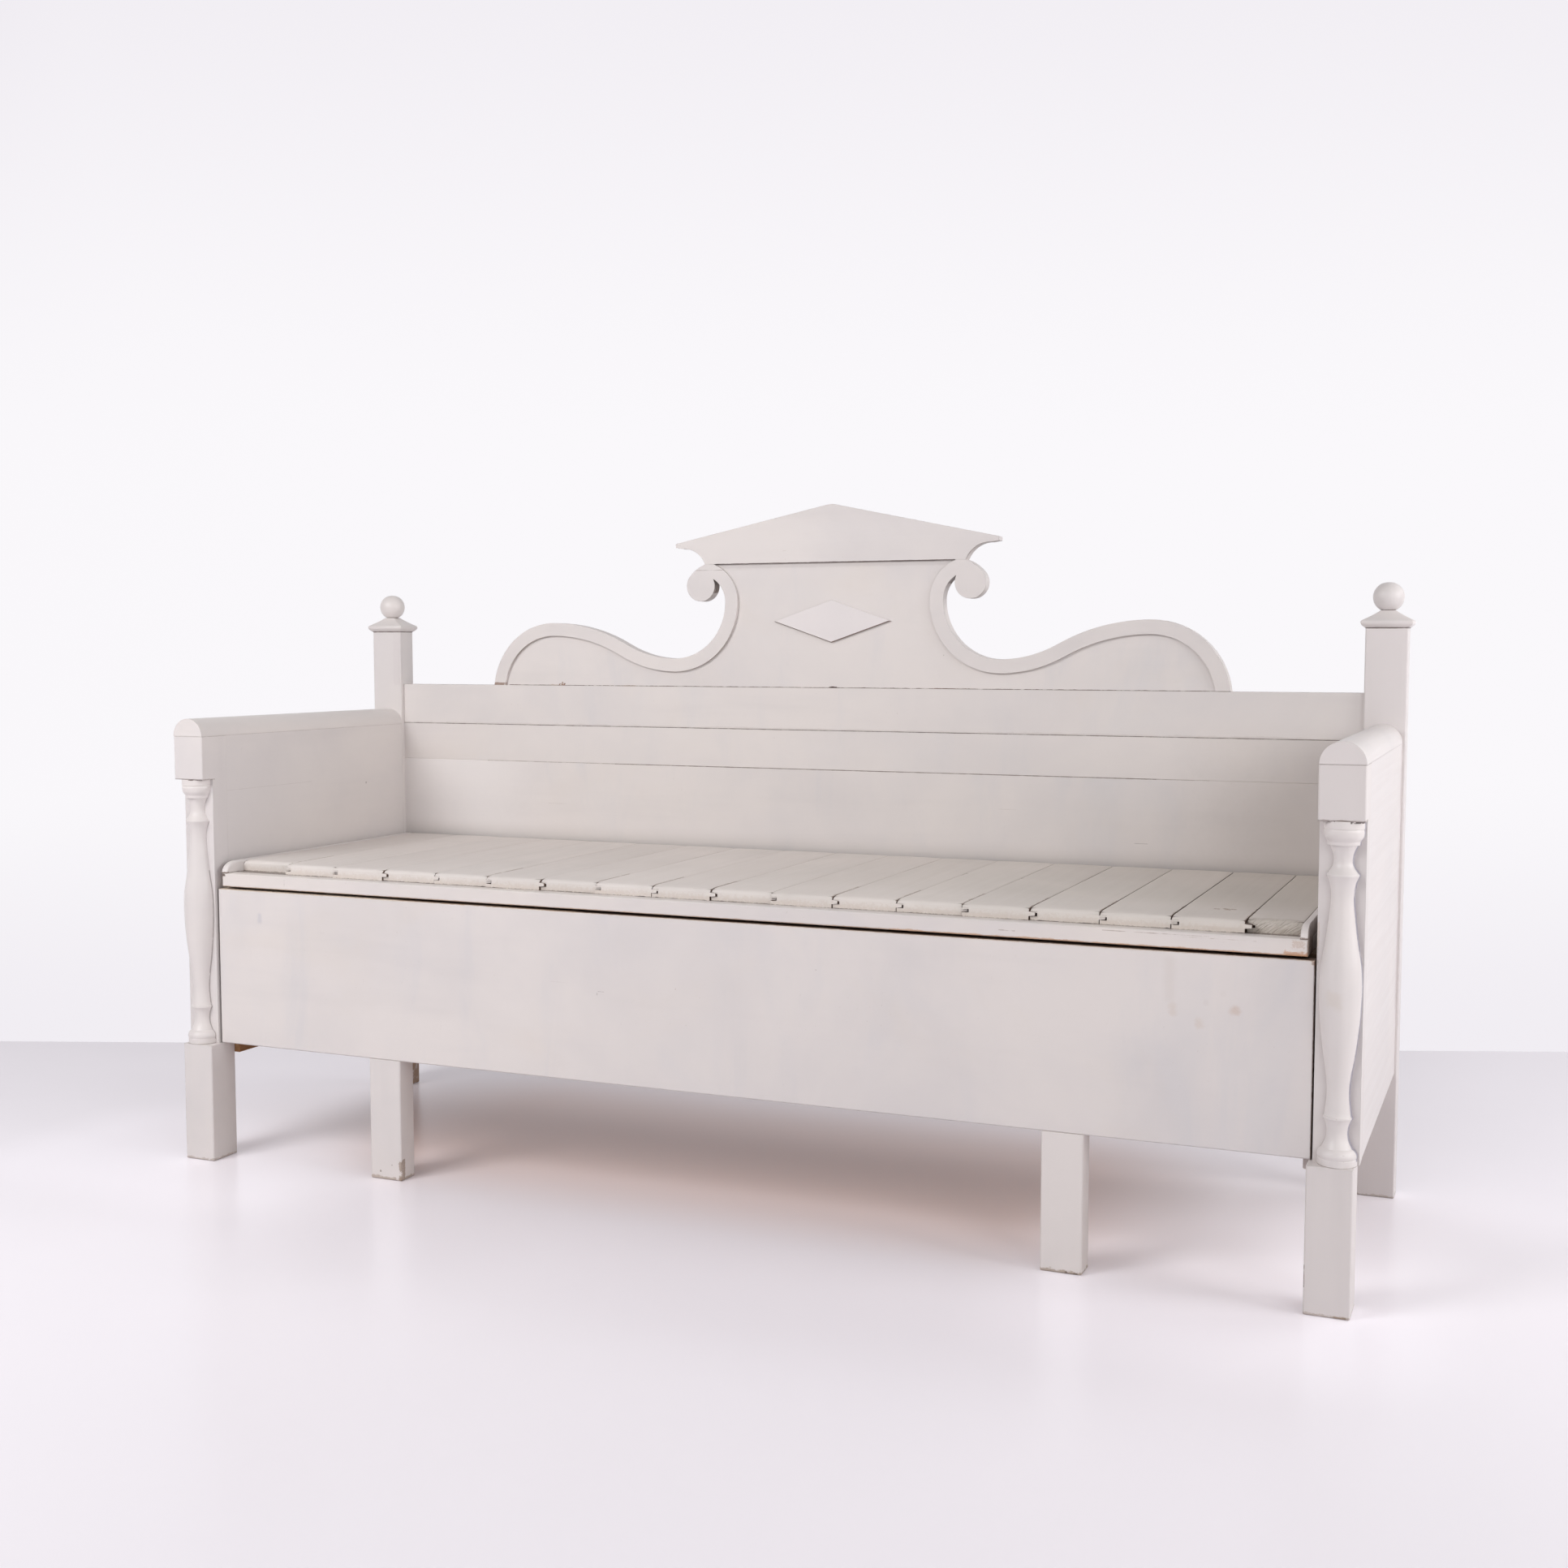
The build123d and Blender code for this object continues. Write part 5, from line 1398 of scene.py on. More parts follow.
@dataclass
class SeatBoard:
    """Tongue-and-groove seat board: its edges, its tongue and groove, its cuts, and what wear and saw have left."""

    left: float
    right: float
    front: float
    back: float
    low: float
    high: float
    tongue: bool = True
    groove: bool = True
    nose: float = 0.0052
    arris: float = 0.0009
    reach: float = 0.009
    depth: float = 0.0098
    half_tongue: float = 0.003
    half_groove: float = 0.00318
    facet: float = 0.0042
    first_steps: Triple = (0.0085, 0.013, 0.02)
    long_steps: int = 22
    laid_gap: float = 0.0008
    joint_reach: float = 0.006
    sawn: float = 0.01

    @property
    def middle(self) -> float:
        """Height of the tongue's middle."""
        return (self.low + self.high) / 2

    def levels(self) -> tuple[float, ...]:
        """Heights at which the front profile is cut."""
        return (self.middle - self.half_groove, self.middle - self.half_tongue, self.middle + self.half_tongue,
                self.middle + self.half_groove, self.low + 0.0026)

    def cut(self, spots: Iterable[float], way: Triple) -> None:
        """Cut the whole mesh by planes across one axis.

        Args:
            spots: Where the planes stand.
            way: Unit vector across the planes.
        """
        for spot in spots:
            bpy.ops.mesh.select_all(action="SELECT")
            bpy.ops.mesh.bisect(plane_co=tuple(spot * part for part in way), plane_no=way)

    def profile(self, name: str) -> Piece:
        """Cut the front profile out of one plane standing at the front end.

        Args:
            name: Name of the board.

        Returns:
            The profile, in edit mode.
        """
        width = self.right - self.left
        Hand.clear_selection()
        bpy.ops.mesh.primitive_plane_add(size=1.0, rotation=(math.pi / 2, 0.0, 0.0),
                                         location=((self.left + self.right) / 2, self.front, self.middle))
        piece = Hand.rename(name)
        piece.scale = (width, self.high - self.low, 1.0)
        Hand.settle(piece)
        bpy.ops.object.mode_set(mode="EDIT")
        count = max(4, round(width / self.facet))
        self.cut([self.left + width * step / count for step in range(1, count)], (1.0, 0.0, 0.0))
        if self.groove:
            self.cut([self.left + self.depth], (1.0, 0.0, 0.0))
        self.cut(self.levels(), (0.0, 0.0, 1.0))
        if self.groove:
            Hand.pick_faces(piece, lambda spot: spot.x < self.left + self.depth
                            and abs(spot.z - self.middle) < self.half_groove)
            bpy.ops.mesh.delete(type="FACE")
        if self.tongue:
            Hand.pick_edges(piece, lambda a, b: abs((a.x + b.x) / 2 - self.right) < ON_PLANE
                            and abs((a.z + b.z) / 2 - self.middle) < self.half_tongue)
            for _ in range(3):
                Hand.draw_out((self.reach / 3, 0.0, 0.0))
        bpy.ops.mesh.select_mode(type="VERT")
        return piece

    def lengthen(self) -> None:
        """Draw the profile out towards the back in steps that are short near the front."""
        near = self.first_steps[-1]
        far = [near + (self.back - self.front - near) * step / self.long_steps
               for step in range(1, self.long_steps + 1)]
        reached = self.front
        bpy.ops.mesh.select_all(action="SELECT")
        for step in (*self.first_steps, *far):
            Hand.draw_out((0.0, self.front + step - reached, 0.0))
            reached = self.front + step
        bpy.ops.mesh.select_all(action="SELECT")
        bpy.ops.mesh.normals_make_consistent(inside=False)

    def round_edges(self, piece: Piece) -> None:
        """Round the front end's top edge and ease the long edges beside the joints.

        Args:
            piece: The board, in edit mode.
        """
        Hand.pick_edges(piece, lambda a, b: all(abs(v.y - self.front) < ON_PLANE and abs(v.z - self.high) < ON_PLANE
                                                for v in (a, b)))
        bpy.ops.mesh.bevel(offset=self.nose, segments=5, affect="EDGES")
        bpy.ops.mesh.select_all(action="DESELECT")
        shell = bmesh.from_edit_mesh(piece.data)
        shell.normal_update()
        shoulder = self.middle + self.half_groove - ON_PLANE
        for edge in shell.edges:
            ends = [v.co for v in edge.verts]
            on_side = any(all(abs(end.x - side) < ON_PLANE for end in ends) for side in (self.left, self.right))
            if on_side and len(edge.link_faces) == 2 and min(end.z for end in ends) > shoulder:
                turned = [abs(face.normal.x) > 0.9 for face in edge.link_faces]
                inner = max(end.y for end in ends) < self.back - ON_PLANE
                lengthwise = abs(ends[0].y - ends[1].y) > OFF_PLANE
                edge.select = turned[0] != turned[1] and (inner or lengthwise)
        bmesh.update_edit_mesh(piece.data)
        bpy.ops.mesh.bevel(offset=self.arris, segments=2, affect="EDGES")
        bpy.ops.mesh.select_mode(type="VERT")

    def make(self, name: str) -> Piece:
        """Model the board.

        Args:
            name: Name of the board.

        Returns:
            The board.
        """
        piece = self.profile(name)
        self.lengthen()
        self.round_edges(piece)
        bpy.ops.object.mode_set(mode="OBJECT")
        return Hand.settle(piece)

    def fray_front(self, spot: Vector, place: Vector, wear: BoardWear) -> None:
        """Leave the front end as sawn, with chips along its upper edge and splinters below.

        Args:
            spot: Corner that is moved.
            place: Where it was.
            wear: The board's wear.
        """
        x, y, z = place
        near = fade(y - self.front, self.sawn)
        if near <= 0.0:
            return
        slant, chip_start = (4.0 if wear.rough > 1.5 else 0.0), 0.22
        saw = wear.lump(x * (90.0 + 20.0 * slant), z * 150.0 + x * 60.0 * slant, 0.0)
        spot.y += near * wear.rough * (0.0005 + 0.0005 * saw)
        chip = wear.lump(x * 48.0, z * 40.0, 3.1)
        if z > self.middle + self.half_groove + OFF_PLANE and chip > chip_start:
            spot.z -= near * (chip - chip_start) * 0.0042 * wear.rough
            spot.y += near * (chip - chip_start) * 0.003 * wear.rough
        if z < self.low + 0.001:
            spot.z += max(0.0, wear.lump(x * 130.0, 1.7, 0.0)) * 0.0016 * near

    def wear_top(self, spot: Vector, place: Vector, wear: BoardWear) -> None:
        """Roll the front over, and round and cup the top.

        Args:
            spot: Corner that is moved.
            place: Where it was.
            wear: The board's wear.
        """
        x, y, z = place
        rise = max(0.0, (z - self.middle) / (self.high - self.middle))
        spot.y += 0.0022 * rise * rise * fade(y - self.front, 0.0085)
        if z > self.middle + self.half_groove + OFF_PLANE:
            rolled = fade(y - self.front, 0.021) ** 2 * (0.6 + 0.4 * wear.rough)
            spot.z -= 0.0021 * rolled
            side = min(x - self.left, self.right - x)
            spot.z -= 0.0011 * fade(side, 0.012) ** 2 * (0.35 + 0.65 * rolled)
            cup = (x - self.left) / (self.right - self.left) * 2.0 - 1.0
            spot.z -= 0.00035 * cup * cup + 0.0002 * (1.0 + wear.lump(x * 14.0, y * 3.0, 0.0))

    def opening(self, y: float, row: float, seam: Seam, wear: BoardWear) -> float:
        """How far one side has drawn back from its joint, more at the front, and negative where it has closed."""
        wave = abs(wear.lump(y * 16.0, row, 0.0)) * 0.0003 * seam.dark + 0.0003 * fade(y - self.front, 0.14) * seam.dark
        return wave - (self.laid_gap - seam.gap) / 2

    def wear_joints(self, spot: Vector, place: Vector, wear: BoardWear) -> None:
        """Open or close the joints, and fray the groove and the tongue.

        Args:
            spot: Corner that is moved.
            place: Where it was.
            wear: The board's wear.
        """
        x, y, z = place
        from_left, from_right, off = x - self.left, self.right - x, abs(z - self.middle)
        in_groove = off < self.half_groove and from_left > OFF_PLANE
        if self.groove and -ON_PLANE < from_left < self.joint_reach and not in_groove:
            spot.x += (1.0 - from_left / self.joint_reach) * self.opening(y, 5.0, wear.left, wear)
        if self.tongue and -ON_PLANE < from_right < self.joint_reach:
            spot.x -= (1.0 - from_right / self.joint_reach) * self.opening(y, 9.0, wear.right, wear)
        if self.groove and abs(from_left - self.depth) < ON_PLANE and off <= self.half_groove + ON_PLANE:
            spot.x += -0.0007 + 0.0014 * wear.left.dark + 0.0008 * wear.lump(y * 60.0, z * 400.0, 2.0)
        near = fade(y - self.front, self.sawn)
        at_joint = from_left < self.depth + OFF_PLANE or from_right < OFF_PLANE
        if near > 0.0 and off < self.half_groove + OFF_PLANE and at_joint:
            spot.z += near * 0.0007 * wear.lump(x * 260.0, z * 500.0, 6.0)
        if self.tongue and x > self.right + 0.0005:
            out = (x - self.right) / self.reach
            spot.z = self.middle + (z - self.middle) * (1.0 - 0.3 * out)
            spot.x -= 0.0009 * abs(wear.lump(y * 70.0, z * 300.0, 4.0)) * out

    def wear(self, piece: Piece, wear: BoardWear) -> None:
        """Move the surface as saw, plane and use left it.

        Args:
            piece: The board.
            wear: How it is worn.
        """
        for vertex in piece.data.vertices:
            place = vertex.co.copy()
            self.fray_front(vertex.co, place, wear)
            self.wear_top(vertex.co, place, wear)
            self.wear_joints(vertex.co, place, wear)
        piece.data.update()

    def on_top(self, low: Pair, high: Pair, colour: Colour, *rest: float) -> Patch:
        """Mark on the board's top, laid out across and in depth, whose last values are those of Patch."""
        return Patch((*low, self.high - 0.002), (*high, self.high + 0.001), colour, *rest)


@dataclass
class EndBatten:
    """End batten of the lid: a stick with an oval nose, its inner top edge rounded, bored for the pivot pin."""

    node: str
    nose: float = 0.028
    crown: float = 0.0036
    bore: float = 0.00505
    pin: Pair = (0.23825, 0.4766)
    seam: float = 0.4766
    rail_back: float = -0.22125
    crease: float = 40.0

    def block_out(self, name: str, low: Vector, high: Vector) -> Piece:
        """Start from a stick with its oval nose.

        Args:
            name: Name of the piece.
            low: Its lowest corner.
            high: Its highest corner.

        Returns:
            The stick, in edit mode.
        """
        Hand.clear_selection()
        centre = ((low[0] + high[0]) / 2, (low[1] + high[1]) / 2, (self.seam + high[2]) / 2)
        bpy.ops.mesh.primitive_cube_add(size=1.0, location=centre)
        piece = Hand.rename(name)
        piece.scale = (high[0] - low[0], high[1] - low[1], high[2] - self.seam)
        Hand.settle(piece)
        bpy.ops.object.mode_set(mode="EDIT")
        # The nose is beveled round while the stick is pressed short, and drawn out to an oval with it.
        share = (high[2] - self.seam - 0.0006) / self.nose
        bpy.ops.mesh.select_all(action="SELECT")
        bpy.ops.transform.resize(value=(1.0, share, 1.0), center_override=(0.0, low[1], 0.0))
        Hand.pick_edges(piece, lambda a, b: all(abs(v.y - low[1]) < ON_PLANE and abs(v.z - high[2]) < ON_PLANE
                                                for v in (a, b)))
        bpy.ops.mesh.bevel(offset=self.nose * share, segments=9, affect="EDGES")
        bpy.ops.mesh.select_all(action="SELECT")
        bpy.ops.transform.resize(value=(1.0, 1.0 / share, 1.0), center_override=(0.0, low[1], 0.0))
        return piece

    def drill(self, piece: Piece, across: float) -> None:
        """Bore the hole for the pivot pin.

        Args:
            piece: The batten.
            across: Middle of the batten across the bench.
        """
        Hand.clear_selection()
        bpy.ops.mesh.primitive_cylinder_add(vertices=40, radius=self.bore, depth=0.06,
                                            rotation=(0.0, math.pi / 2, 0.0), location=(across, *self.pin))
        drill = Hand.settle(Hand.rename("pin_drill"))
        cut = piece.modifiers.new("bore", "BOOLEAN")
        cut.operation = "DIFFERENCE"
        cut.object = drill
        Hand.choose(piece)
        bpy.ops.object.modifier_apply(modifier=cut.name)
        bpy.data.objects.remove(drill, do_unlink=True)

    def make(self, name: str) -> Piece:
        """Model the batten.

        Args:
            name: Name of the piece.

        Returns:
            The batten.
        """
        low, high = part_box(self.node)
        inner = low[0] if high[0] > 0 else high[0]
        piece = self.block_out(name, low, high)
        # The part behind the front rail is drawn down to the lid's underside.
        bpy.ops.mesh.select_all(action="SELECT")
        bpy.ops.mesh.bisect(plane_co=(0.0, self.rail_back, 0.0), plane_no=(0.0, 1.0, 0.0))
        Hand.pick_faces(piece, lambda spot: abs(spot.z - self.seam) < ON_PLANE and spot.y > self.rail_back)
        Hand.draw_out((0.0, 0.0, low[2] - self.seam))
        Hand.pick_edges(piece, lambda a, b: all(abs(v.x - inner) < ON_PLANE and v.z > self.seam + OFF_PLANE
                                                for v in (a, b))
                        and min(a.y, b.y) <= high[1] - ON_PLANE)
        bpy.ops.mesh.bevel(offset=self.crown, segments=4, affect="EDGES")
        bpy.ops.mesh.select_mode(type="VERT")
        Hand.close(piece)
        self.drill(piece, (low[0] + high[0]) / 2)
        Hand.settle(piece)
        Hand.smooth(piece, self.crease)
        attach(piece, "lid")
        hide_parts(self.node)
        return piece


@dataclass
class SeatLid(DressedNodes):
    """Seat lid: eighteen worn boards, front rail, end battens and rear rail."""

    seams: tuple[Seam, ...] = (
        Seam(0.00045, 0.75), Seam(0.0003, 0.5), Seam(0.00035, 0.6), Seam(0.0004, 0.6), Seam(0.0005, 0.75),
        Seam(0.0004, 0.65), Seam(0.0005, 0.75), Seam(0.0005, 0.85), Seam(0.0006, 0.85), Seam(0.0004, 0.6),
        Seam(0.0005, 0.75), Seam(0.0005, 0.75), Seam(0.0006, 0.8), Seam(0.00065, 0.8), Seam(0.0008, 0.85),
        Seam(0.0011, 0.95), Seam(0.0008, 0.92))
    even: float = 0.02
    open_wood: float = 0.7
    crease: float = 40.0

    @property
    def count(self) -> int:
        """Number of boards."""
        return len(self.seams) + 1

    def plan(self, number: int) -> SeatBoard:
        """Sizes of one board, read from its place in the lid.

        Args:
            number: Number of the board, from one on the left.

        Returns:
            The board's sizes.
        """
        low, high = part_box(f"lid_board_{number:02d}")
        first, last = number == 1, number == self.count
        tongue = 0.0 if last else SeatBoard.reach
        return SeatBoard(low.x, high.x - tongue, low.y, high.y, low.z, high.z, tongue=not last, groove=not first)

    def worn(self, number: int) -> BoardWear:
        """How one board is worn; at the lid's ends the nearest joint stands in for the missing one."""
        left, right = self.seams[max(number - 2, 0)], self.seams[min(number, self.count - 1) - 1]
        return BoardWear(number, left, right, 1.8 if number == self.count else 1.0)

    def grime_and_painted_light(self, number: int, plan: SeatBoard) -> list[Patch]:
        """Paint worn pale and to the wood at a board's front end, a painted shadow along its foot over the rail,
        painted light over its front, and dirt in its open joints there.

        Args:
            number: Number of the board.
            plan: Its sizes.

        Returns:
            The patches.
        """
        left, right, low = plan.left, plan.right, plan.low
        near, thin, thick = plan.front - 0.001, plan.front + 0.003, plan.front + 0.006
        patches = [
            # Painted shadow along the board's foot, where it sits over the front rail.
            Patch((left, near, low - 0.001), (right, thin, low + 0.0004), (64, 50, 42), 0.0008, 0.0012, 0.92, 300.0),
            Patch((left, near, low), (right, thin, low + 0.003), (204, 184, 162), 0.003, 0.004, 0.16),
            Patch((left, near, low), (right, thick, low + 0.006), (176, 152, 128), 0.004, 0.007, 0.22, 240.0),
            # Painted light: the board's front is lightened, fading towards the back.
            Patch((left, near, low), (right, plan.front + 0.06, plan.high + 0.001), (228, 221, 217),
                  0.12, 0.01, 0.35, 20.0),
        ]
        for side, index in ((plan.left, number - 2), (plan.right, number - 1)):
            if 0 <= index < len(self.seams) and self.seams[index].dark > self.open_wood:
                patches.append(Patch((side - 0.0008, plan.front, plan.high - 0.003),
                                     (side + 0.0008, plan.front + 0.11, plan.high + 0.001),
                                     (148, 130, 116), 0.0014, 0.0016, 0.75 * self.seams[index].dark, 60.0))
        return patches

    def marks(self, number: int, plan: SeatBoard) -> list[Patch]:
        """Marks that only one board has: torn edges, a knot, dents and rough end grain.

        Args:
            number: Number of the board.
            plan: Its sizes.

        Returns:
            The patches.
        """
        if number == 8:
            dents = ((-0.045, -0.04), (-0.0634, 0.0654), (-0.0616, 0.1245), (-0.0652, 0.1704))
            return [plan.on_top((x - 0.0012, y - 0.003), (x + 0.0012, y + 0.003), (136, 122, 112), 0.0015, 0.0008, 0.75)
                    for x, y in dents]
        if number in (13, 14):
            start, end = {13: (0.069, 0.073), 14: (0.045, 0.05)}[number]
            split = plan.on_top((plan.left + 0.002, end - 0.03), (plan.left + 0.0024, end - 0.004), (132, 116, 104),
                                0.0006, 0.0012, 0.75, 60.0)
            return [plan.on_top((plan.left - 0.001, start), (plan.left + 0.0035, end), (116, 100, 88),
                                0.0016, 0.0028, 0.85, 120.0), split]
        if number == 17:
            knot = ((-0.011, -0.004), (0.0, 0.001), (0.01, 0.0), (0.004, -0.006))
            return [plan.on_top((0.7405 + x, -0.165 + y), (0.745 + x, -0.162 + y), (142, 112, 88),
                                0.003, 0.0022, 0.8, 260.0) for x, y in knot]
        if number == self.count:
            return [Face(plan.front - 0.001, plan.front + 0.012).mark(
                (plan.left, plan.low), (plan.right, plan.high + 0.001), (182, 172, 160), 0.01, 0.006, 0.5, 140.0)]
        return []

    def paint(self, number: int, plan: SeatBoard) -> OilPaint:
        """Paint of one board, with dark joints and its own knots and dents.

        Args:
            number: Number of the board.
            plan: Its sizes.

        Returns:
            The paint.
        """
        wear = self.worn(number)
        # The boards vary at random in tone; the last three are darker, as painted shade beside the right arm, and from
        # the ninth on they turn yellower.
        light = (number * 37 % 11 - 5) * 0.6 - (0.0, 2.0, 6.0, 12.0)[max(0, number - 15)]
        yellow = 0.35 * max(0, number - 8)
        return OilPaint(f"paint_seat_board_{number:02d}", Grain.DEPTH,
                        colour=(223 + light, 215 + light, 210 + light - yellow),
                        shade=(214 + light, 207 + light, 202 + light - yellow),
                        shift=(0.37 * number, 0.11 * number, 0.0), gloss=0.5, arris=0.0, dirt=0.5,
                        sawn=plan.front if number == self.count else None,
                        joints=(wear.left.colour(), wear.right.colour()), middle=(plan.left + plan.right) / 2,
                        patches=(*self.grime_and_painted_light(number, plan), *self.marks(number, plan)))

    def copy_board(self, pattern: Piece, first: SeatBoard, plan: SeatBoard, name: str) -> Piece:
        """Copy a board to another place, with its own mesh and its own length.

        Args:
            pattern: What is copied.
            first: Its sizes.
            plan: Sizes of the copy.
            name: Name of the copy.

        Returns:
            The copy.
        """
        piece = pattern.copy()
        piece.data = pattern.data.copy()
        bpy.context.scene.collection.objects.link(piece)
        piece.name = piece.data.name = name
        piece.location = (plan.left - first.left, plan.front - first.front, 0.0)
        Hand.settle(piece)
        share = (plan.back - plan.front - self.even) / (first.back - first.front - self.even)
        for vertex in piece.data.vertices:
            beyond = vertex.co.y - plan.front - self.even
            if beyond > 0.0:
                vertex.co.y = plan.front + self.even + beyond * share
        return piece

    def boards(self) -> list[Piece]:
        """Model the first, a middle and the last board, copy the middle one, and wear them all.

        Returns:
            The boards from the left.
        """
        first = self.plan(2)
        pattern = first.make("seat_board_02")
        pieces = []
        for number in range(1, self.count + 1):
            plan, name = self.plan(number), f"seat_board_{number:02d}"
            if number in (1, self.count):
                pieces.append(plan.make(name))
            else:
                pieces.append(pattern if number == 2 else self.copy_board(pattern, first, plan, name))
        for number, piece in enumerate(pieces, 1):
            plan = self.plan(number)
            plan.wear(piece, self.worn(number))
            Hand.smooth(piece, self.crease)
            Hand.dress(piece, self.paint(number, plan).material())
            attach(piece, "lid")
            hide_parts(f"lid_board_{number:02d}")
        return pieces

    def rail_paint(self) -> OilPaint:
        """Paint the front rail, worn to the wood along its lower edge, with painted shade below, under the boards and
        on its right end.

        Returns:
            The rail's paint.
        """
        low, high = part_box("lid_front_rail")
        left, right, foot, top = low.x, high.x, low.z, high.z
        near, back = low.y - 0.001, high.y
        wide, slim, thin = (Face(near, low.y + far) for far in (0.003, 0.002, 0.001))
        patches = (
            wide.mark((left, foot - 0.001), (right, foot + 0.0006), (198, 168, 138), 0.0013, 0.0011, 0.75, 60.0),
            wide.mark((0.3, foot - 0.001), (right, foot + 0.0012), (200, 160, 126), 0.0016, 0.0018, 0.7, 45.0),
            wide.mark((0.838, foot), (right, foot + 0.0028), (190, 140, 100), 0.005, 0.004, 0.75, 160.0),
            # Painted shade on the right end, in the gap beside the arm.
            Face(low.y, back).mark((right - 0.0004, foot), (right + 0.001, top), (140, 118, 100),
                                   0.0008, 0.0006, 0.7, 150.0),
            slim.mark((-0.866, foot), (-0.8628, top), (168, 138, 112), 0.0012, 0.0016, 0.7, 150.0),
            slim.mark((-0.864, 0.4722), (-0.858, 0.475), (84, 66, 54), 0.0008, 0.0006, 0.9, 200.0),
            thin.mark((0.846, foot + 0.012), (0.858, foot + 0.018), (184, 156, 136), 0.003, 0.004, 0.42, 420.0),
            thin.mark((0.6, 0.4727), (0.74, 0.4729), (150, 132, 120), 0.0005, 0.0007, 0.6, 40.0),
            thin.mark((0.7, 0.4705), (0.8, 0.4706), (160, 140, 126), 0.0005, 0.0008, 0.5, 40.0),
            thin.mark((-0.7385, 0.4575), (-0.738, 0.472), (168, 158, 152), 0.0006, 0.0009, 0.6),
            thin.mark((0.458, 0.464), (0.48, 0.4643), (160, 144, 136), 0.0006, 0.0009, 0.6),
            # Painted shade on the underside and under the boards, darkening the gaps.
            Patch((left, low.y + 0.0032, foot - 0.001), (right, back, foot + 0.0004), (74, 56, 44), 0.0006, 0.0, 0.95),
            Patch((-0.8535, -0.25, top - 0.0006), (0.8535, back, top + 0.001), (88, 70, 58), 0.001, 0.0008, 0.8, 300.0),
        )
        return OilPaint("paint_lid_rail", colour=(224, 216, 211), shift=(0.3, 0.2, 0.5), dirt=0.5, patches=patches)

    def batten_paint(self, node: str) -> OilPaint:
        """Paint one end batten, worn at its nose, with painted shade on the right batten's outer face.

        Args:
            node: CAD node that the batten stands for.

        Returns:
            The batten's paint.
        """
        low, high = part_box(node)
        near, underside = low.y - 0.001, EndBatten.seam
        patches = (
            Patch((low.x, near, low.z), (high.x, low.y + 0.004, 0.478), (120, 98, 82), 0.0014, 0.0012, 0.7, 200.0),
            Patch((low.x, low.y, underside), (high.x, low.y + 0.03, underside + 0.0006), (104, 84, 70),
                  0.0007, 0.0006, 0.7, 200.0),
            # Painted shade on the right batten's outer face, in the gap beside the arm.
            Patch((0.8636, near, 0.474), (0.866, high.y, 0.53), (128, 114, 106), 0.0006, 0.0006, 0.62, 60.0),
        )
        return OilPaint(f"paint_{node}", Grain.DEPTH, shift=(0.2, 0.2, 0.1), dirt=0.5, patches=patches)

    def build(self) -> list[Piece]:
        """Model and paint the lid.

        Returns:
            The new boards and battens, and the rails.
        """
        pieces = self.boards()
        for side in ("left", "right"):
            batten = EndBatten(f"lid_end_batten_{side}").make(f"rounded_end_batten_{side}")
            Hand.dress(batten, self.batten_paint(f"lid_end_batten_{side}").material())
            pieces.append(batten)
        rails = {"lid_front_rail": self.rail_paint(), "lid_rear_rail": BarePine("pine_lid_rear_rail")}
        return pieces + self.dress(rails)


@dataclass(frozen=True)
class SoftBox:
    """Square soft lamp, its size in metres and its power in watts."""

    name: str
    place: Triple
    aim: Triple
    size: float
    power: float

    def hang(self) -> None:
        """Hang the lamp."""
        data = bpy.data.lights.new(self.name, "AREA")
        data.shape = "RECTANGLE"
        data.size = data.size_y = self.size
        data.energy = self.power
        lamp = bpy.data.objects.new(self.name, data)
        bpy.context.scene.collection.objects.link(lamp)
        lamp.location = self.place
        lamp.rotation_euler = (Vector(self.aim) - Vector(self.place)).to_track_quat("-Z", "Y").to_euler()


@dataclass(frozen=True)
class FloorLight:
    """Place on the floor between two corners that looks lighter to the eye, or darker with a negative lift."""

    low: Pair
    high: Pair
    soft: float
    lift: float

    def mask(self, shader: Shader, mottle: Socket) -> Socket:
        """Mask of the place, one inside it."""
        return shader.inside(Patch((*self.low, -0.1), (*self.high, 0.1), (0, 0, 0), self.soft, 0.0, 1.0), mottle)


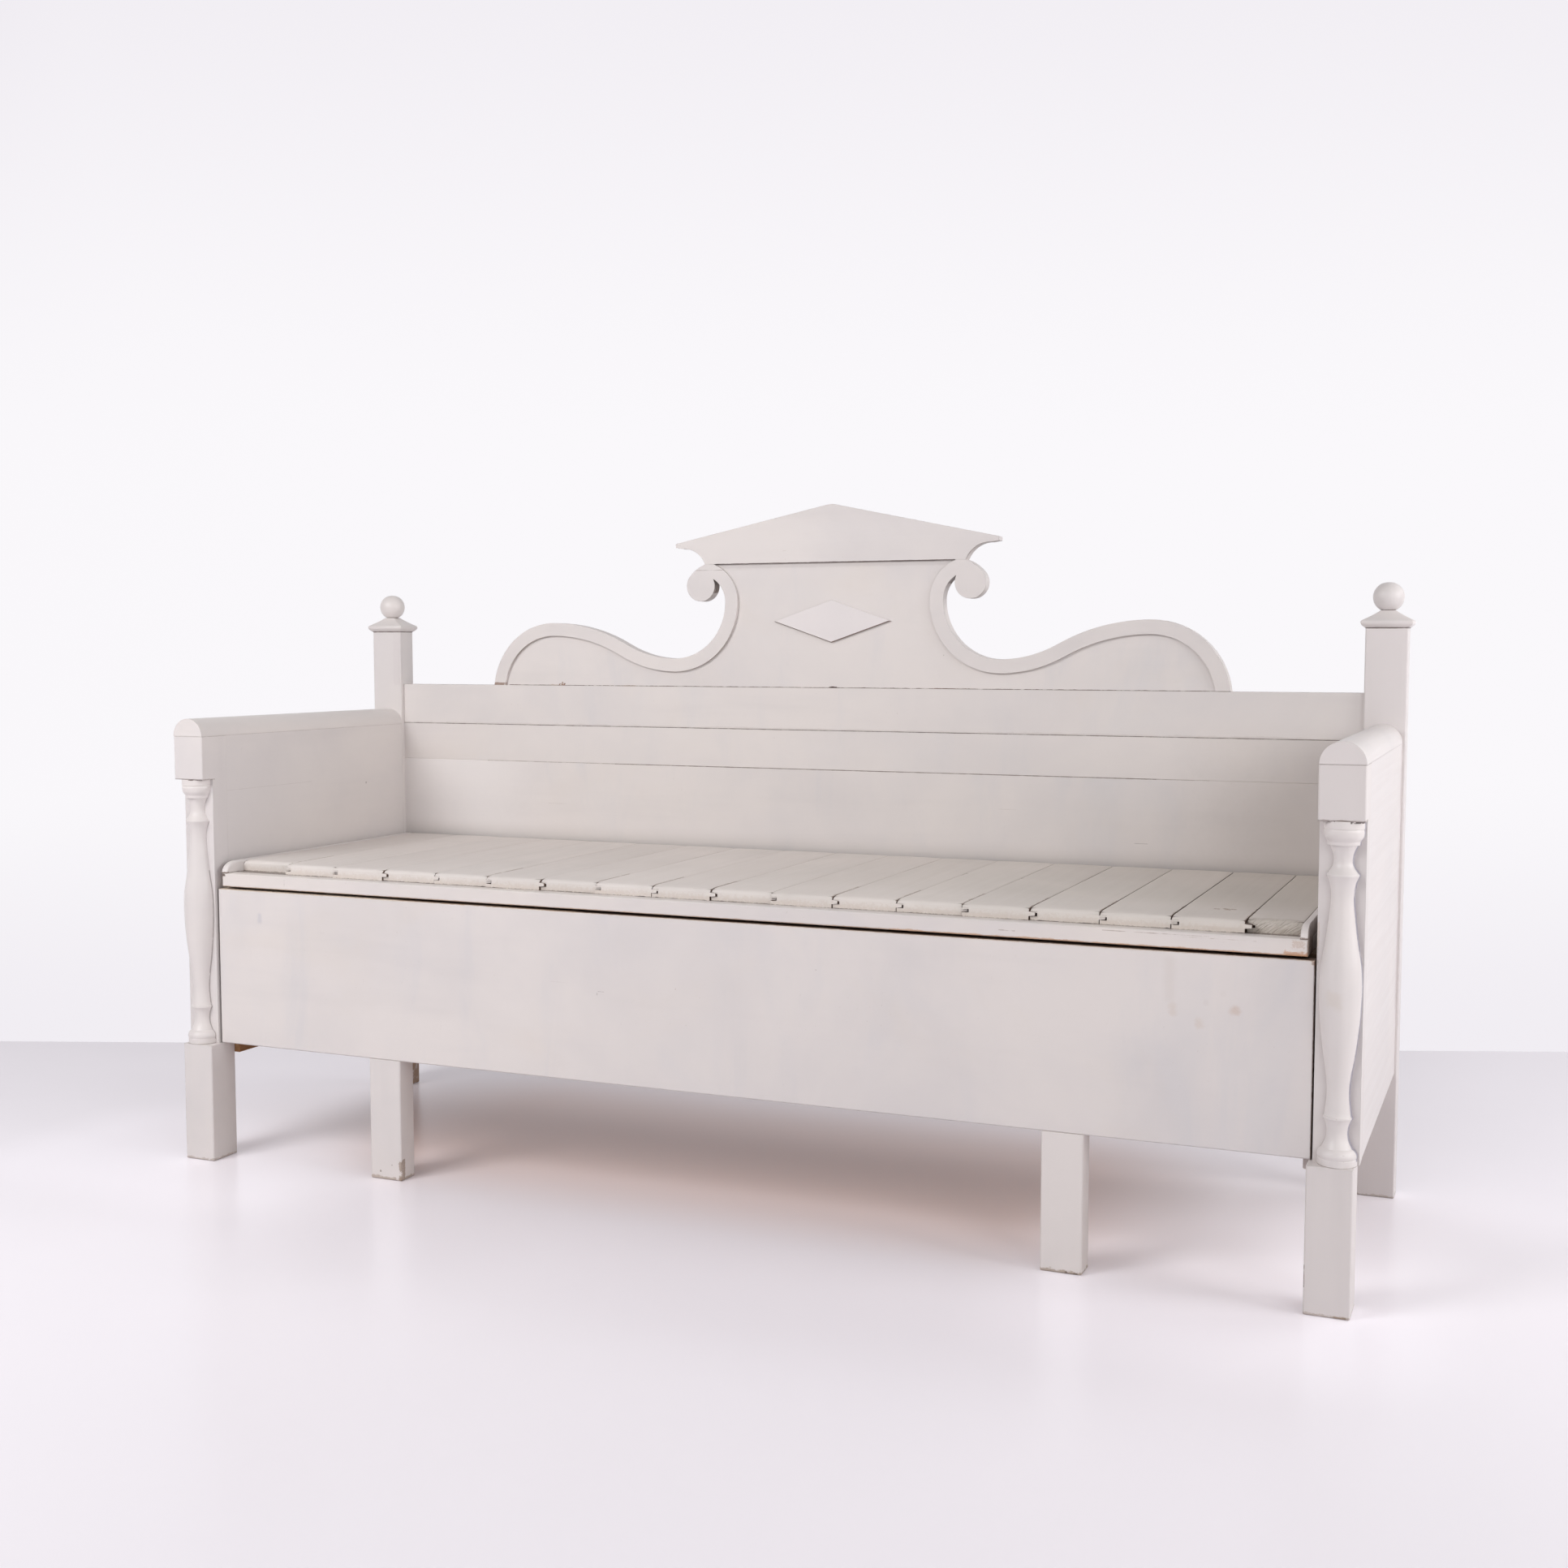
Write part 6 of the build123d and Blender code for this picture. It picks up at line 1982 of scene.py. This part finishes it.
@dataclass
class Studio:
    """Floor, wall, light and camera. Angles are in radians, lens and sensor in millimetres, the rest in metres."""

    eye: Triple = (1.1421, -2.6128, 0.8459)
    turn: float = 0.40399
    tilt: float = 0.07549
    lens: float = 41.345
    sensor: float = 36.0
    floor: float = -0.0004
    floor_reach: float = 14.0
    wall_left: Pair = (-1.9176, 0.2444)
    wall_right: Pair = (1.19, 1.462)
    wall_reach: float = 9.0
    shadow: FloorLight = FloorLight((-0.55, -0.02), (0.4, 0.22), 0.32, -0.07)
    glows: tuple[FloorLight, ...] = (
        FloorLight((-1.15, -0.42), (-0.75, -0.15), 0.18, 0.05), FloorLight((0.62, -0.4), (0.9, 0.0), 0.22, 0.065),
        FloorLight((1.1, 0.35), (2.6, 1.6), 0.38, 0.05), FloorLight((-2.8, -0.2), (-1.25, 1.6), 0.4, 0.022),
        FloorLight((1.1, -1.6), (2.4, 0.0), 0.26, -0.055))
    lamps: tuple[SoftBox, ...] = (
        SoftBox("soft_box_left", (-1.4, -2.6, 2.2), (-0.4, 0.0, 0.5), 1.4, 50.0),
        SoftBox("soft_box_near_left", (-1.8, -2.0, 1.6), (-0.6, 0.0, 0.5), 1.2, 8.0),
        SoftBox("soft_box_end", (3.4, -0.4, 1.4), (0.4, 0.0, 0.5), 1.4, 41.0),
        SoftBox("soft_box_right", (3.0, -2.6, 1.9), (0.1, 0.0, 0.5), 1.4, 23.0),
        SoftBox("soft_box_low_right", (2.4, -3.4, 1.2), (0.3, 0.0, 0.5), 1.4, 6.0),
        SoftBox("soft_box_rear", (2.8, 1.6, 2.4), (0.2, 0.0, 0.5), 1.8, 21.0))

    def camera(self) -> None:
        """Stand the camera in front of the bench, to the right."""
        data = bpy.data.cameras.new("studio_camera")
        data.lens, data.sensor_width = self.lens, self.sensor
        camera = bpy.data.objects.new("studio_camera", data)
        bpy.context.scene.collection.objects.link(camera)
        camera.location = self.eye
        camera.rotation_euler = (math.pi / 2 - self.tilt, 0.0, self.turn)
        bpy.context.scene.camera = camera

    def floor_material(self) -> bpy.types.Material:
        """Make the pale lacquered floor, a little lighter to the eye than to the bench.

        Returns:
            The floor's material.
        """
        shader = Shader("studio_floor")
        mottle = shader.noise(shader.place, 1.1, 3.0, 0.5)
        colour = shader.blend(shader.remap(mottle, 0.35, 0.7), Tone.FLOOR.linear, Tone.FLOOR_CLOUD.linear)
        across, deep, _ = shader.split(shader.place)
        away = shader.sum("ADD", shader.times(across, -0.393), shader.times(deep, 0.919))
        colour = shader.blend(shader.remap(away, -1.0, -0.4, 1.0, 0.0), colour, Tone.FLOOR_NEAR.linear)
        # Painted shadow under the bench: a warm tint in the colour here, and a darker glow to the eye further down.
        under = self.shadow.mask(shader, mottle)
        colour = shader.blend(shader.times(under, 0.9), colour, Tone.FLOOR_UNDER.linear)
        shader.link(colour, shader.surface.inputs["Base Color"])
        shader.surface.inputs["Roughness"].default_value = 0.24
        shader.surface.inputs["Specular IOR Level"].default_value = 0.25
        glow = shader.sum("ADD", shader.remap(deep, -2.2, -0.2, 0.0, 0.105), shader.times(under, self.shadow.lift))
        for place in self.glows:
            glow = shader.sum("ADD", glow, shader.times(place.mask(shader, mottle), place.lift))
        path = shader.add("ShaderNodeLightPath")
        seen = shader.times(path.outputs["Is Camera Ray"], shader.sum("MAXIMUM", glow, 0.0))
        shader.surface.inputs["Emission Color"].default_value = Tone.FLOOR_GLOW.linear
        shader.link(seen, shader.surface.inputs["Emission Strength"])
        return shader.material

    def wall_material(self) -> bpy.types.Material:
        """Make the unlit white wall, which shows from the front only and dims at its top and foot.

        Returns:
            The wall's material.
        """
        shader = Shader("studio_wall")
        shader.tree.nodes.remove(shader.surface)
        across, _, height = shader.split(shader.place)
        top = shader.remap(height, 1.2, 2.5, 0.0, 0.8)
        foot = shader.remap(height, 0.02, 0.62, 0.75, 0.0)
        ends = shader.remap(shader.sum("ABSOLUTE", across, 0.0), 0.6, 2.6, 0.0, 1.6)
        corners = shader.times(ends, shader.sum("ADD", top, 0.05))
        dim = shader.sum("MAXIMUM", shader.sum("MAXIMUM", top, foot), corners)
        glow = shader.add("ShaderNodeEmission")
        clear = shader.add("ShaderNodeBsdfTransparent")
        mix = shader.add("ShaderNodeMixShader")
        side = shader.add("ShaderNodeNewGeometry")
        shader.link(shader.blend(dim, Tone.WALL.linear, Tone.WALL_DIM.linear), glow.inputs["Color"])
        shader.link(side.outputs["Backfacing"], mix.inputs[0])
        shader.link(glow.outputs[0], mix.inputs[1])
        shader.link(clear.outputs[0], mix.inputs[2])
        shader.link(mix.outputs[0], shader.output.inputs["Surface"])
        return shader.material

    def sheet(self, name: str, corners: Iterable[Triple], material: bpy.types.Material) -> Piece:
        """Flat sheet between four corners.

        Args:
            name: Name of the sheet.
            corners: Its corners in order.
            material: Its material.

        Returns:
            The sheet.
        """
        mesh = bpy.data.meshes.new(name)
        mesh.from_pydata(list(corners), [], [(0, 1, 2, 3)])
        sheet = bpy.data.objects.new(name, mesh)
        bpy.context.scene.collection.objects.link(sheet)
        sheet.data.materials.append(material)
        return sheet

    def room(self) -> None:
        """Lay the floor and stand the wall behind the bench."""
        reach = self.floor_reach
        plan = ((-reach, -reach), (reach, -reach), (reach, reach), (-reach, reach))
        self.sheet("studio_floor", [(*corner, self.floor) for corner in plan], self.floor_material())
        left, right = Vector((*self.wall_left, 0.0)), Vector((*self.wall_right, 0.0))
        run, rise = (right - left).normalized() * self.wall_reach, Vector((0.0, 0.0, self.wall_reach))
        corners = (left - run, right + run, right + run + rise, left - run + rise)
        wall = self.sheet("studio_wall", [tuple(corner) for corner in corners], self.wall_material())
        wall.visible_diffuse = False
        wall.visible_shadow = False

    def world(self) -> None:
        """Even white surroundings, a little brighter to the eye than to the bench."""
        world = bpy.data.worlds.new("studio_world")
        bpy.context.scene.world = world
        world.use_nodes = True
        nodes, links = world.node_tree.nodes, world.node_tree.links
        nodes.clear()
        output, mix = nodes.new("ShaderNodeOutputWorld"), nodes.new("ShaderNodeMixShader")
        light, seen = nodes.new("ShaderNodeBackground"), nodes.new("ShaderNodeBackground")
        light.inputs["Color"].default_value = (1.0, 0.955, 0.955, 1.0)
        light.inputs["Strength"].default_value = 0.235
        seen.inputs["Color"].default_value = Tone.SURROUNDINGS.linear
        path, to_eye = nodes.new("ShaderNodeLightPath"), nodes.new("ShaderNodeMath")
        to_eye.operation = "MAXIMUM"
        links.new(path.outputs["Is Camera Ray"], to_eye.inputs[0])
        links.new(path.outputs["Is Glossy Ray"], to_eye.inputs[1])
        links.new(to_eye.outputs[0], mix.inputs[0])
        links.new(light.outputs[0], mix.inputs[1])
        links.new(seen.outputs[0], mix.inputs[2])
        links.new(mix.outputs[0], output.inputs["Surface"])

    def build(self) -> None:
        """Set up the whole studio."""
        bpy.context.scene.view_settings.view_transform = "Standard"
        self.room()
        self.world()
        for lamp in self.lamps:
            lamp.hang()
        self.camera()


def main() -> None:
    """Build the bench's looks in order and report each piece."""
    logging.basicConfig(level=logging.INFO, format="%(name)s: %(message)s")
    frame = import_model()
    Studio().build()
    nodes = frame["nodes"]
    for part in (PaintedFrame(nodes), PullOutBed(nodes), SeatLid(nodes), TurnedWork(), PostCaps()):
        for piece in part.build():
            log.info("%s: %s, %d faces", type(part).__name__, piece.name, len(piece.data.polygons))


if __name__ == "__main__":
    main()
